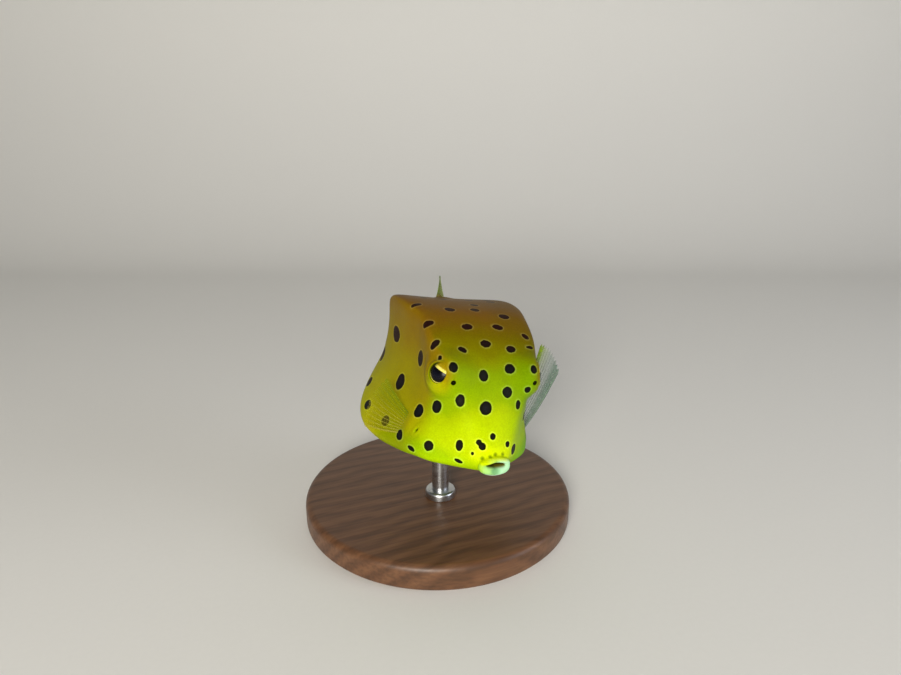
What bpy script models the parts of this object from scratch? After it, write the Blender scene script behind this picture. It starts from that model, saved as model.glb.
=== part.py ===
"""A young spotted boxfish, life size, held by a plain display stand."""
import math
from collections import namedtuple

import bmesh
import bpy
import numpy as np
from mathutils import Euler, Matrix, Vector
from mathutils.bvhtree import BVHTree

# All sizes are in millimetres and become metres when a mesh is made.
# The fish is built level in its own frame: x to its left, y back, z up, mouth at the origin.
MM = 0.001

# Gap left between two neighbours that touch.
GAP = 0.3

# How the fish hangs over the base: nose down, left side down, lifted clear.
POSE_NOSE_DOWN = 8.8
POSE_LEFT_DOWN = 9.2
POSE_MOUTH = (0.0, -29.6, 27.0)

# Each station is one slanted cut through the shell, from the lips to the tail root.
# The levels are shares of the way up from the belly line to the back line.
Station = namedtuple(
    "Station",
    "back_y back_z belly_y belly_z ridge_half ridge_level flank_half flank_level keel_half keel_level",
)
STATIONS = (
    Station(0.5, 1.4, 0.5, -2.0, 2.4, 0.86, 3.3, 0.50, 2.5, 0.14),
    Station(1.3, 2.8, 1.6, -2.9, 3.0, 0.86, 4.3, 0.50, 3.6, 0.14),
    Station(2.7, 5.0, 2.9, -3.5, 3.9, 0.88, 5.7, 0.42, 5.5, 0.14),
    Station(4.6, 8.7, 4.8, -4.1, 5.3, 0.90, 7.4, 0.42, 8.4, 0.12),
    Station(7.4, 13.3, 7.4, -4.9, 8.2, 0.92, 9.2, 0.44, 11.6, 0.11),
    Station(11.0, 17.6, 10.4, -5.8, 10.6, 0.945, 11.3, 0.46, 13.6, 0.10),
    Station(15.6, 21.0, 14.2, -6.9, 12.2, 0.935, 12.2, 0.48, 15.6, 0.095),
    Station(21.5, 23.2, 19.6, -7.7, 12.7, 0.94, 12.6, 0.48, 18.0, 0.09),
    Station(28.0, 22.9, 26.6, -8.2, 14.0, 0.955, 13.2, 0.48, 19.0, 0.09),
    Station(34.4, 21.1, 33.4, -7.6, 14.0, 0.985, 13.2, 0.48, 17.6, 0.095),
    Station(39.6, 19.2, 39.2, -5.2, 12.6, 0.965, 12.0, 0.48, 14.2, 0.11),
    Station(43.6, 16.9, 43.6, -1.8, 8.8, 0.93, 9.0, 0.50, 9.6, 0.12),
    Station(46.4, 13.8, 46.6, 1.5, 4.9, 0.88, 5.0, 0.50, 5.4, 0.13),
    Station(48.6, 11.0, 48.8, 3.2, 2.6, 0.86, 3.0, 0.50, 2.7, 0.14),
    Station(51.6, 9.9, 51.8, 4.0, 1.5, 0.86, 1.8, 0.50, 1.5, 0.14),
    Station(54.6, 9.8, 54.8, 4.0, 0.9, 0.86, 1.1, 0.50, 0.9, 0.14),
)
RING_COUNT = 62
STEPS_PER_QUARTER = 10

# The shell is parted behind the eyes and in front of the tail.
# Each cut is a plane through a point (y, z) that leans back by so much for each unit up.
GILL_CUT = (10.4, 1.5, 0.45)
TAIL_CUT = (48.0, 7.0, 0.0)
FIN_CUT = (54.6, 7.0, 0.0)

# Where the larger nodes have their own origins.
HEAD_MIDDLE = (0, 7, 5)
TRUNK_MIDDLE = (0, 30, 7)

# The tail swings to the fish's left.
BEND_START_Y = 46.5
BEND_LENGTH = 11.0
BEND_ANGLE = math.radians(64.0)

# Eyes: the ball, the way it looks and the raised rim of skin about it.
# The rim's height is measured from the ball's centre, along the way that the eye looks.
# Skin deeper than ORBIT_DEEPEST isn't lifted, and the lift grows over ORBIT_FADE above that.
EYE_CENTRE = (10.1, 10.9, 14.3)
EYE_RADIUS = 2.7
EYE_AXIS = (0.85, -0.40, 0.30)
LID_HEIGHT = 1.55
LID_RADIUS = 2.7
ORBIT_RADIUS = 5.6
ORBIT_DEEPEST = -6.5
ORBIT_FADE = 3.0

# Small openings of the head.
NOSTRIL_AT = (8.5, 8.1, 13.7)
NOSTRIL_RADIUS = 0.45
NOSTRIL_SEEN_FROM = (0, 12, 11)
GILL_SLIT_AT = (11.4, 0.9)
GILL_SLIT_LENGTH = 3.8
GILL_SLIT_WIDTH = 0.5
GILL_SLIT_DEPTH = 1.2
GILL_SLIT_LEAN = 20.0
MOUTH_HALF_WIDTH = 2.3
MOUTH_HALF_HEIGHT = 0.7
MOUTH_DEPTH = 1.6

# Lips: half width of the lip line, height of its middle, bow, and half sizes of the roll.
Lip = namedtuple("Lip", "half_width level bow roll_up roll_out front_y")
UPPER_LIP = Lip(3.1, 0.25, 0.75, 0.55, 1.00, -0.25)
LOWER_LIP = Lip(3.3, -0.45, -0.95, 1.10, 1.50, -0.20)
LIP_BACK_Y = 0.2
LIP_END_GAP = 10.0
LIP_END_FULLNESS = 0.5
LIP_STEPS = 18
LIP_SIDES = 12

# A fin is a fan from a root line to a tip line.
# swell is how far its rim bows out, cup how far its middle bows sideways,
# and bow how far its rays curve towards the front edge.
Fin = namedtuple(
    "Fin", "root_front root_back tip_front tip_back swell cup bow rays thick_root thick_tip",
)
TAIL_FIN = Fin((0, 53.6, 9.6), (0, 53.6, 4.2), (0, 65.2, 12.2), (0, 65.2, 0.4), 2.8, 0, 0, 10, 1.3, 0.5)
DORSAL_FIN = Fin(
    (0.0, 37.6, 18.4), (0.0, 42.4, 16.6), (-0.6, 41.6, 23.4), (1.8, 46.4, 21.2), 1.0, 0, 0, 9, 1.8, 0.5,
)
ANAL_FIN = Fin(
    (0.0, 40.4, -3.0), (0.0, 44.8, 0.0), (0.4, 44.4, -9.0), (2.4, 49.2, -5.6), 1.0, 0, 0, 9, 1.6, 0.5,
)
PECTORAL_LEFT = Fin(
    (12.8, 12.8, -2.6), (12.0, 15.2, 2.0), (22.4, 17.6, 11.6), (17.8, 21.0, 16.9), 1.4, 0.8, 0.9,
    10, 1.2, 0.5,
)
PECTORAL_RIGHT = Fin(
    (-14.0, 13.4, -1.2), (-12.8, 13.8, 2.2), (-20.2, 22.0, -4.6), (-16.2, 24.0, 6.4), 1.2, 0.6, 0.4,
    10, 1.2, 0.5,
)
FIN_ROWS = 9
FIN_ORIGIN = (0.5, 0.1)
RAY_HEIGHT = 0.14
RAY_FADE = 0.6

# Stand: a round base, one rod and the small collar about its foot.
BASE_RADIUS = 32.0
BASE_HEIGHT = 6.0
BASE_EDGE = 1.6
BASE_EDGE_STEPS = 6
BASE_FOOT = 0.5
ROD_RADIUS = 2.0
ROD_LENGTH = 27.0
ROD_AT = (-1.0, -4.0)
ROD_SINK = 3.0
COLLAR_RADIUS = 3.6
COLLAR_HEIGHT = 1.6
COLLAR_BEVEL = 0.5


def empty_the_file():
    for thing in list(bpy.data.objects):
        bpy.data.objects.remove(thing, do_unlink=True)


def make_collection(name):
    collection = bpy.data.collections.new(name)
    bpy.context.scene.collection.children.link(collection)
    return collection


def make_material(name, colour, roughness, metallic=0.0):
    material = bpy.data.materials.new(name)
    material.use_nodes = True
    shader = material.node_tree.nodes["Principled BSDF"]
    shader.inputs["Base Color"].default_value = (*colour, 1.0)
    shader.inputs["Roughness"].default_value = roughness
    shader.inputs["Metallic"].default_value = metallic
    return material


def smooth_between(values, where):
    """Values read at a place between the stations, along a curve through all of them."""
    last = len(values) - 1
    index = min(int(where), last - 1)
    share = where - index
    before = values[max(index - 1, 0)]
    here = values[index]
    there = values[index + 1]
    after = values[min(index + 2, last)]
    straight = there - before
    bend = 2 * before - 5 * here + 4 * there - after
    twist = 3 * (here - there) + after - before
    return here + 0.5 * share * (straight + share * (bend + share * twist))


def corner_arc(start, corner, end, slope, steps):
    """A curve level at its start, through the corner halfway, leaving along the slope."""
    rise = ((8 * corner[1] - start[1] - end[1]) / 3 - start[1] - end[1]) / slope[1]
    reach = (8 * corner[0] - end[0]) / 3 - end[0] - rise * slope[0]
    first = np.array([reach, start[1]])
    second = end + rise * slope
    points = []
    for step in range(steps + 1):
        t = step / steps
        u = 1 - t
        points.append(u**3 * start + 3 * u * u * t * first + 3 * u * t * t * second + t**3 * end)
    return points


def shell_ring(where, steps, grow):
    """One ring of the shell, from the back line round the left side and on to the start."""
    row = Station(*[smooth_between([station[k] for station in STATIONS], where) for k in range(10)])
    back = np.array([row.back_y, row.back_z])
    belly = np.array([row.belly_y, row.belly_z])
    height = np.linalg.norm(back - belly)
    upward = (back - belly) / height
    top = np.array([0.0, height + grow])
    ridge = np.array([row.ridge_half + grow, row.ridge_level * height + grow * row.ridge_level])
    flank = np.array([row.flank_half + grow, row.flank_level * height])
    keel = np.array([row.keel_half + grow, row.keel_level * height - grow * (1 - row.keel_level)])
    bottom = np.array([0.0, -grow])
    slope = (ridge - keel) / np.linalg.norm(ridge - keel)
    upper = corner_arc(top, ridge, flank, slope, steps)
    lower = corner_arc(bottom, keel, flank, slope, steps)
    half = upper + lower[-2::-1]
    left = []
    for side, level in half:
        left.append((side, belly[0] + level * upward[0], belly[1] + level * upward[1]))
    right = [(-x, y, z) for x, y, z in left[-2:0:-1]]
    return [Vector(point) for point in left + right]


def ease(value):
    """A share from 0 to 1 that starts and ends gently."""
    share = min(max(value, 0.0), 1.0)
    return share * share * (3 - 2 * share)


def lift_orbit(point):
    """Raises the skin about each eye to a round rim that overlaps the ball like a lid."""
    for side in (1, -1):
        centre = Vector((side * EYE_CENTRE[0], EYE_CENTRE[1], EYE_CENTRE[2]))
        axis = Vector((side * EYE_AXIS[0], EYE_AXIS[1], EYE_AXIS[2])).normalized()
        offset = point - centre
        along = offset.dot(axis)
        away = (offset - along * axis).length
        hold = 1 - ease((away - LID_RADIUS) / (ORBIT_RADIUS - LID_RADIUS))
        hold *= ease((along - ORBIT_DEEPEST) / ORBIT_FADE)
        point = point + axis * hold * (LID_HEIGHT - along)
    return point


def bend_tail(point):
    """Swings what lies behind the shell round to the fish's left."""
    along = point.y - BEND_START_Y
    if along <= 0:
        return point
    radius = BEND_LENGTH / BEND_ANGLE
    turned = min(along / BEND_LENGTH, 1.0) * BEND_ANGLE
    rest = max(along - BEND_LENGTH, 0.0)
    across = radius * (1 - math.cos(turned)) + rest * math.sin(turned)
    back = radius * math.sin(turned) + rest * math.cos(turned)
    return Vector((
        across + point.x * math.cos(turned),
        BEND_START_Y + back - point.x * math.sin(turned),
        point.z,
    ))


def closed_loft(rings):
    """A closed mesh from rings of points, both ends filled."""
    bm = bmesh.new()
    loops = [[bm.verts.new(point) for point in ring] for ring in rings]
    count = len(loops[0])
    for near, far in zip(loops, loops[1:]):
        for k in range(count):
            bm.faces.new((near[k], near[(k + 1) % count], far[(k + 1) % count], far[k]))
    bm.faces.new(loops[0][::-1])
    bm.faces.new(loops[-1])
    bmesh.ops.recalc_face_normals(bm, faces=bm.faces)
    return bm


def shell_mesh(grow, rings=RING_COUNT, steps=STEPS_PER_QUARTER):
    last = len(STATIONS) - 1
    made = []
    for k in range(rings):
        ring = shell_ring(last * k / (rings - 1), steps, grow)
        made.append([lift_orbit(point) for point in ring])
    return closed_loft(made)


def cut_plane(cut, shift):
    """Point and normal of a cut, moved back along its own normal."""
    y, z, lean = cut
    normal = Vector((0, 1, -lean)).normalized()
    return Vector((0, y, z)) + shift * normal, normal


def keep_between(bm, front_cut, back_cut):
    """Keeps the part of a closed mesh between two cuts and closes it again."""
    for cut, keep_back, shift in ((front_cut, True, GAP / 2), (back_cut, False, -GAP / 2)):
        if cut is None:
            continue
        point, normal = cut_plane(cut, shift)
        geometry = list(bm.verts) + list(bm.edges) + list(bm.faces)
        bmesh.ops.bisect_plane(
            bm, geom=geometry, dist=0.0001, plane_co=point, plane_no=normal,
            clear_inner=keep_back, clear_outer=not keep_back,
        )
        rim = [edge for edge in bm.edges if edge.is_boundary]
        bmesh.ops.holes_fill(bm, edges=rim, sides=0)
    bmesh.ops.recalc_face_normals(bm, faces=bm.faces)
    return bm


def add_object(name, bm, origin, material, collection, parent=None, smooth=True):
    """Turns a mesh in millimetres into a named object that sits at its own origin."""
    middle = Vector(origin)
    for vertex in bm.verts:
        vertex.co = (vertex.co - middle) * MM
    mesh = bpy.data.meshes.new(name)
    bm.to_mesh(mesh)
    bm.free()
    if smooth:
        mesh.shade_smooth()
    made = bpy.data.objects.new(name, mesh)
    made.location = middle * MM
    made.parent = parent
    if material:
        mesh.materials.append(material)
    collection.objects.link(made)
    return made


def cut_away(target, cutter, solver="EXACT"):
    change = target.modifiers.new("cut_" + cutter.name, "BOOLEAN")
    change.operation = "DIFFERENCE"
    change.solver = solver
    change.object = cutter


def ball_mesh(radius, steps=24):
    bm = bmesh.new()
    bmesh.ops.create_uvsphere(bm, u_segments=steps, v_segments=steps // 2, radius=radius)
    return bm


def cylinder_mesh(radius, height, steps=32):
    bm = bmesh.new()
    bmesh.ops.create_cone(
        bm, cap_ends=True, segments=steps, radius1=radius, radius2=radius, depth=height,
    )
    return bm


def add_ball(name, radius, centre, material, collection, parent, stretch=(1, 1, 1), turn=None):
    bm = ball_mesh(radius)
    matrix = Matrix.Diagonal((*stretch, 1.0))
    if turn:
        matrix = turn.to_matrix().to_4x4() @ matrix
    bmesh.ops.transform(bm, matrix=Matrix.Translation(Vector(centre)) @ matrix, verts=bm.verts)
    return add_object(name, bm, centre, material, collection, parent)


def lip_mesh(lip):
    """A roll of skin along a bowed line from one corner of the mouth to the other."""
    rings = []
    for step in range(LIP_STEPS + 1):
        angle = math.radians(LIP_END_GAP + (180 - 2 * LIP_END_GAP) * step / LIP_STEPS)
        swell = math.sin(angle)
        middle = Vector((lip.half_width * math.cos(angle), 0, lip.level + lip.bow * swell))
        outward = Vector((math.cos(angle), 0, math.copysign(swell, lip.bow)))
        fullness = LIP_END_FULLNESS + (1 - LIP_END_FULLNESS) * swell
        ring = []
        for side in range(LIP_SIDES):
            turn = math.tau * side / LIP_SIDES
            reach = lip.roll_up * fullness * math.cos(turn)
            depth = lip.front_y + lip.roll_out * fullness * math.sin(turn)
            point = middle + outward * reach
            point.y = min(depth, LIP_BACK_Y)
            ring.append(point)
        rings.append(ring)
    return closed_loft(rings)


def fin_point(fin, share, out):
    """A point of the middle surface: share runs along the root, out from root to rim."""
    root = Vector(fin.root_front).lerp(Vector(fin.root_back), share)
    tip = Vector(fin.tip_front).lerp(Vector(fin.tip_back), share)
    ray = tip - root
    tip = tip + ray.normalized() * fin.swell * math.sin(math.pi * share)
    rootward = (Vector(fin.root_back) - Vector(fin.root_front)).normalized()
    sideways = rootward.cross(ray).normalized()
    cup = fin.cup * math.sin(math.pi * share) * math.sin(math.pi * out * 0.5)
    bow = fin.bow * math.sin(math.pi * out)
    return root.lerp(tip, out) + sideways * cup - rootward * bow


def fin_mesh(fin):
    """A thin fan with its rays raised in both faces, split alike on both."""
    columns = 2 * fin.rays
    step = 0.01
    front = []
    back = []
    bm = bmesh.new()
    for i in range(columns + 1):
        share = i / columns
        front_line = []
        back_line = []
        for j in range(FIN_ROWS + 1):
            out = j / FIN_ROWS
            middle = fin_point(fin, share, out)
            low = max(share - step, 0)
            high = min(share + step, 1)
            along = fin_point(fin, high, out) - fin_point(fin, low, out)
            outward = fin_point(fin, share, min(out + step, 1)) - fin_point(fin, share, max(out - step, 0))
            normal = along.cross(outward).normalized()
            thick = fin.thick_tip + (fin.thick_root - fin.thick_tip) * (1 - out) ** 2
            if i % 2:
                thick += 2 * RAY_HEIGHT * (1 - RAY_FADE * out)
            front_line.append(bm.verts.new(middle + normal * thick / 2))
            back_line.append(bm.verts.new(middle - normal * thick / 2))
        front.append(front_line)
        back.append(back_line)
    for i in range(columns):
        for j in range(FIN_ROWS):
            for grid in (front, back):
                a, b, c, d = grid[i][j], grid[i + 1][j], grid[i + 1][j + 1], grid[i][j + 1]
                bm.faces.new((a, b, c))
                bm.faces.new((a, c, d))
    border = [(i, 0) for i in range(columns)] + [(columns, j) for j in range(FIN_ROWS)]
    border += [(i, FIN_ROWS) for i in range(columns, 0, -1)] + [(0, j) for j in range(FIN_ROWS, 0, -1)]
    for (i, j), (k, m) in zip(border, border[1:] + border[:1]):
        bm.faces.new((front[i][j], front[k][m], back[k][m], back[i][j]))
    bmesh.ops.recalc_face_normals(bm, faces=bm.faces)
    return bm


def bend_mesh(bm):
    for vertex in bm.verts:
        vertex.co = bend_tail(vertex.co)
    return bm


def make_shell_nodes(skins, fish, parts):
    """Head, trunk and the stalk of the tail, parted from one shell."""
    head = keep_between(shell_mesh(0.0), None, GILL_CUT)
    trunk = keep_between(shell_mesh(0.0), GILL_CUT, TAIL_CUT)
    stalk = keep_between(shell_mesh(0.0), TAIL_CUT, FIN_CUT)
    made = {}
    made["head"] = add_object("head", head, HEAD_MIDDLE, skins["face"], parts, fish)
    made["trunk"] = add_object("trunk", bend_mesh(trunk), TRUNK_MIDDLE, skins["back"], parts, fish)
    root = bend_tail(Vector((0, TAIL_CUT[0], TAIL_CUT[1])))
    made["tail_stalk"] = add_object("tail_stalk", bend_mesh(stalk), root, skins["back"], parts, fish)
    return made


def skin_beyond(skin, inside, towards):
    """Where a line from inside the fish comes out through its skin."""
    line = (Vector(towards) - Vector(inside)).normalized()
    return skin.ray_cast(Vector(inside), line)[0]


def slit_mesh(centre):
    """A short thin blade that cuts a gill slit, leaning back at its top."""
    blade = cylinder_mesh(0.5, 1.0, 16)
    size = Matrix.Diagonal((GILL_SLIT_DEPTH * 2, GILL_SLIT_WIDTH, GILL_SLIT_LENGTH, 1.0))
    lean = Matrix.Rotation(math.radians(-GILL_SLIT_LEAN), 4, "X")
    bmesh.ops.transform(blade, matrix=Matrix.Translation(centre) @ lean @ size, verts=blade.verts)
    return blade


def make_openings(head, trunk, fish, cutters):
    """Sockets, nostrils and the hollow of the mouth in the head, gill slits in the trunk."""
    shell = shell_mesh(0.0)
    skin = BVHTree.FromBMesh(shell)
    shell.free()
    for side, word in ((1, "left"), (-1, "right")):
        eye = (side * EYE_CENTRE[0], EYE_CENTRE[1], EYE_CENTRE[2])
        cut_away(head, add_ball("cutter_socket_" + word, EYE_RADIUS + GAP, eye, None, cutters, fish))
        nostril_way = (side * NOSTRIL_AT[0], NOSTRIL_AT[1], NOSTRIL_AT[2])
        nostril_at = skin_beyond(skin, NOSTRIL_SEEN_FROM, nostril_way)
        cut_away(head, add_ball("cutter_nostril_" + word, NOSTRIL_RADIUS, nostril_at, None, cutters, fish))
        slit_line = Vector((side, GILL_SLIT_AT[0], GILL_SLIT_AT[1]))
        slit_at = skin_beyond(skin, (0, slit_line.y, slit_line.z), slit_line)
        blade = slit_mesh(slit_at)
        cut_away(trunk, add_object("cutter_gill_slit_" + word, blade, slit_at, None, cutters, fish))
    mouth = add_ball(
        "cutter_mouth", 1.0, (0, STATIONS[0].back_y, 0), None, cutters, fish,
        stretch=(MOUTH_HALF_WIDTH, MOUTH_DEPTH, MOUTH_HALF_HEIGHT),
    )
    cut_away(head, mouth)


def make_eyes(material, fish, parts):
    for side, word in ((1, "left"), (-1, "right")):
        eye = (side * EYE_CENTRE[0], EYE_CENTRE[1], EYE_CENTRE[2])
        add_ball("eye_" + word, EYE_RADIUS, eye, material, parts, fish)


def make_lips(material, fish, parts):
    for name, lip in (("lip_upper", UPPER_LIP), ("lip_lower", LOWER_LIP)):
        middle = (0, lip.front_y, lip.level + lip.bow)
        add_object(name, lip_mesh(lip), middle, material, parts, fish)


def make_fins(material, fish, parts, clearance):
    fins = {
        "fin_dorsal": DORSAL_FIN,
        "fin_anal": ANAL_FIN,
        "fin_pectoral_left": PECTORAL_LEFT,
        "fin_pectoral_right": PECTORAL_RIGHT,
    }
    for name, fin in fins.items():
        made = add_object(name, fin_mesh(fin), fin_point(fin, *FIN_ORIGIN), material, parts, fish)
        cut_away(made, clearance)
    tail = fin_mesh(TAIL_FIN)
    keep_between(tail, FIN_CUT, None)
    root = bend_tail(Vector((0, FIN_CUT[0], FIN_CUT[1])))
    add_object("fin_tail", bend_mesh(tail), root, material, parts, fish)


def turned_mesh(profile, steps=64):
    """A solid of revolution from (radius, height) points, first and last on the axis."""
    bm = bmesh.new()
    foot = bm.verts.new((0, 0, profile[0][1]))
    crown = bm.verts.new((0, 0, profile[-1][1]))
    rings = []
    for radius, height in profile[1:-1]:
        ring = []
        for k in range(steps):
            turn = math.tau * k / steps
            ring.append(bm.verts.new((radius * math.cos(turn), radius * math.sin(turn), height)))
        rings.append(ring)
    for k in range(steps):
        bm.faces.new((foot, rings[0][(k + 1) % steps], rings[0][k]))
        bm.faces.new((crown, rings[-1][k], rings[-1][(k + 1) % steps]))
        for low, high in zip(rings, rings[1:]):
            bm.faces.new((low[k], low[(k + 1) % steps], high[(k + 1) % steps], high[k]))
    bmesh.ops.recalc_face_normals(bm, faces=bm.faces)
    return bm


def make_stand(wood, steel, parts, cutters, clearance):
    """The round base with its rod let into it, cut off to follow the belly."""
    edge = BASE_EDGE
    profile = [(0, 0), (BASE_RADIUS - BASE_FOOT, 0), (BASE_RADIUS, BASE_FOOT)]
    for k in range(BASE_EDGE_STEPS + 1):
        turn = math.radians(90 * k / BASE_EDGE_STEPS)
        radius = BASE_RADIUS - edge + edge * math.cos(turn)
        profile.append((radius, BASE_HEIGHT - edge + edge * math.sin(turn)))
    profile.append((0, BASE_HEIGHT))
    base = add_object("stand_base", turned_mesh(profile), (0, 0, 0), wood, parts, smooth=False)
    foot = Vector((ROD_AT[0], ROD_AT[1], BASE_HEIGHT - ROD_SINK))
    hole = cylinder_mesh(ROD_RADIUS + GAP, ROD_SINK * 2)
    bmesh.ops.translate(hole, vec=(foot.x, foot.y, BASE_HEIGHT), verts=hole.verts)
    hole_cutter = add_object("cutter_rod_hole", hole, foot, None, cutters, smooth=False)
    cut_away(base, hole_cutter)
    rod = cylinder_mesh(ROD_RADIUS, ROD_LENGTH)
    bmesh.ops.translate(rod, vec=(foot.x, foot.y, foot.z + GAP + ROD_LENGTH / 2), verts=rod.verts)
    rod_object = add_object("stand_rod", rod, foot, steel, parts, smooth=False)
    cut_away(rod_object, clearance)
    low = BASE_HEIGHT + GAP
    high = low + COLLAR_HEIGHT
    collar = turned_mesh([
        (0, low), (COLLAR_RADIUS, low), (COLLAR_RADIUS, high - COLLAR_BEVEL),
        (COLLAR_RADIUS - COLLAR_BEVEL, high), (0, high),
    ])
    bmesh.ops.translate(collar, vec=(foot.x, foot.y, 0), verts=collar.verts)
    collar_object = add_object("stand_collar", collar, (foot.x, foot.y, low), steel, parts, smooth=False)
    bore = cylinder_mesh(ROD_RADIUS + GAP, COLLAR_HEIGHT * 4)
    bmesh.ops.translate(bore, vec=(foot.x, foot.y, low), verts=bore.verts)
    bore_cutter = add_object("cutter_collar_bore", bore, foot, None, cutters, smooth=False)
    cut_away(collar_object, bore_cutter)


def main():
    empty_the_file()
    parts = make_collection("young_boxfish")
    cutters = make_collection("cutters")
    skins = {
        "face": make_material("skin_of_the_face", (0.50, 0.56, 0.01), 0.42),
        "back": make_material("skin_of_the_back", (0.27, 0.19, 0.005), 0.45),
    }
    lip_skin = make_material("pale_lip_skin", (0.62, 0.86, 0.50), 0.40)
    fin_skin = make_material("fin_membrane", (0.33, 0.38, 0.14), 0.35)
    eye_skin = make_material("dark_eye", (0.010, 0.011, 0.016), 0.08)
    wood = make_material("oiled_wood", (0.16, 0.085, 0.04), 0.45)
    steel = make_material("brushed_steel", (0.56, 0.56, 0.55), 0.32, 1.0)

    fish = bpy.data.objects.new("fish_pose", None)
    fish.rotation_euler = Euler((math.radians(POSE_NOSE_DOWN), math.radians(POSE_LEFT_DOWN), 0))
    fish.location = Vector(POSE_MOUTH) * MM
    parts.objects.link(fish)

    clearance = add_object("cutter_clearance", shell_mesh(GAP), TRUNK_MIDDLE, None, cutters, fish)
    shell = make_shell_nodes(skins, fish, parts)
    make_openings(shell["head"], shell["trunk"], fish, cutters)
    make_eyes(eye_skin, fish, parts)
    make_lips(lip_skin, fish, parts)
    make_fins(fin_skin, fish, parts, clearance)
    make_stand(wood, steel, parts, cutters, clearance)
    for cutter in cutters.objects:
        cutter.hide_render = True
        cutter.display_type = "WIRE"


main()
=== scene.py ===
# A young yellow boxfish, life size, on a small display stand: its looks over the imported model.
import math
from functools import partial

import bmesh
import bpy
import numpy as np
from mathutils import Euler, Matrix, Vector
from mathutils.bvhtree import BVHTree


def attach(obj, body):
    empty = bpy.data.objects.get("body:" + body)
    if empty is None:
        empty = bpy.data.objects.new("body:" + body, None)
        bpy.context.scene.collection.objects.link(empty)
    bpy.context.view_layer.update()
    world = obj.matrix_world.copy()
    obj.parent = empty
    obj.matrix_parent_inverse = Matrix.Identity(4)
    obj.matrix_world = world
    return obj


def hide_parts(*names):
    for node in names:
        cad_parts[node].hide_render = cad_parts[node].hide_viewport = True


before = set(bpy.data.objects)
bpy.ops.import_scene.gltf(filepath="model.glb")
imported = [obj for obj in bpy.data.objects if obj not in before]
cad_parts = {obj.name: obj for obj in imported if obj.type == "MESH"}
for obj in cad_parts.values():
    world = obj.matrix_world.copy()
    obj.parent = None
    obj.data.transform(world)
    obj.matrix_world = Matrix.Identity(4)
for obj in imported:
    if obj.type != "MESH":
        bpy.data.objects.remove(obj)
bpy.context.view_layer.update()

mm = 0.001  # sizes below are millimetres, and meshes are metres

# The fish is built level: x to its left, y back, z up, mouth at the origin. Then it is posed.
fishPose = {"noseDown": math.radians(8.8), "leftDown": math.radians(9.2), "mouth": (0.0, -29.6, 27.0)}
fishTurn = np.array(Euler((fishPose["noseDown"], fishPose["leftDown"], 0)).to_matrix())
noiseSpan = {"From Min": 0.3, "From Max": 0.7}  # where most of a noise texture's values lie
vectorFields = ("fishPlace", "limeCast", "eyePlace", "tint")


def hexColour(code):
    parts = [int(code[k:k + 2], 16) / 255 for k in (0, 2, 4)]
    return (*(part / 12.92 if part <= 0.04045 else ((part + 0.055) / 1.055) ** 2.4 for part in parts), 1.0)


def addNode(tree, kind, inputs=None, stops=(), **settings):
    # An input takes a value, a hex colour, a socket, or a node, whose first open output it then reads.
    node = tree.nodes.new(kind if "Node" in kind else "ShaderNode" + kind)
    for name, value in settings.items():
        setattr(node, name, value)
    sockets = [socket for socket in node.inputs if socket.enabled]
    for name, value in (inputs or {}).items():
        socket = sockets[name] if isinstance(name, int) else next(s for s in sockets if s.name == name)
        if isinstance(value, bpy.types.Node):
            value = next(output for output in value.outputs if output.enabled)
        if isinstance(value, bpy.types.NodeSocket):
            tree.links.new(value, socket)
        else:
            isCode = socket.type == "RGBA" and isinstance(value, str)
            socket.default_value = hexColour(value) if isCode else value
    for k, (place, colour) in enumerate(stops):  # a ramp's colours are hex codes, or grey from 0 to 1
        elements = node.color_ramp.elements
        element = elements[k] if k < len(elements) else elements.new(1.0)
        element.position = place
        element.color = hexColour(colour) if isinstance(colour, str) else (colour, colour, colour, 1.0)
    return node


def newMaterial(name, fields=""):
    material = bpy.data.materials.new(name)
    material.use_nodes = True
    material.node_tree.nodes.clear()
    add = partial(addNode, material.node_tree)
    read = {}
    for field in fields.split():  # the mesh attributes that the material reads
        source = add("Attribute", attribute_name=field)
        read[field] = source.outputs["Vector" if field in vectorFields else "Fac"]
    return material, add, read


def smoothStep(value):
    share = np.clip(value, 0.0, 1.0)
    return share * share * (3 - 2 * share)


def unit(values):
    return values / np.linalg.norm(values, axis=-1, keepdims=True)


def addToScene(name, data):
    thing = bpy.data.objects.new(name, data)
    bpy.context.scene.collection.objects.link(thing)
    return thing


def newPiece(name, mesh, material, stands=()):
    piece = addToScene(name, mesh)
    if material:
        mesh.materials.append(material)
    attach(piece, "root")
    if stands:
        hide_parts(*stands)


def joinRings(bm, rings):
    for near, far in zip(rings, rings[1:]):
        for k in range(len(near)):
            bm.faces.new((near[k - 1], near[k], far[k], far[k - 1]))


def closeRing(bm, ring, place=None):
    if place is None:
        place = sum((vertex.co for vertex in ring), Vector()) / len(ring)
    hub = bm.verts.new(place)
    for k in range(len(ring)):
        bm.faces.new((ring[k - 1], ring[k], hub))
    return hub


def meshFrom(bm, name):
    bmesh.ops.recalc_face_normals(bm, faces=bm.faces)
    mesh = bpy.data.meshes.new(name)
    bm.to_mesh(mesh)
    bm.free()
    return mesh


def readMesh(mesh, name="co"):
    values = np.empty(len(mesh.vertices) * 3)
    mesh.vertices.foreach_get(name, values)
    return values.reshape(-1, 3)


def addAttributes(mesh, **fields):
    for name, values in fields.items():
        values = np.asarray(values, dtype=np.float32)
        kind, part = ("FLOAT", "value") if values.ndim == 1 else ("FLOAT_VECTOR", "vector")
        mesh.attributes.new(name, kind, "POINT").data.foreach_set(part, values.ravel())


def poseMesh(mesh, level):
    mesh.vertices.foreach_set("co", ((level @ fishTurn.T + fishPose["mouth"]) * mm).ravel())
    mesh.shade_smooth()
    mesh.update()


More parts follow.
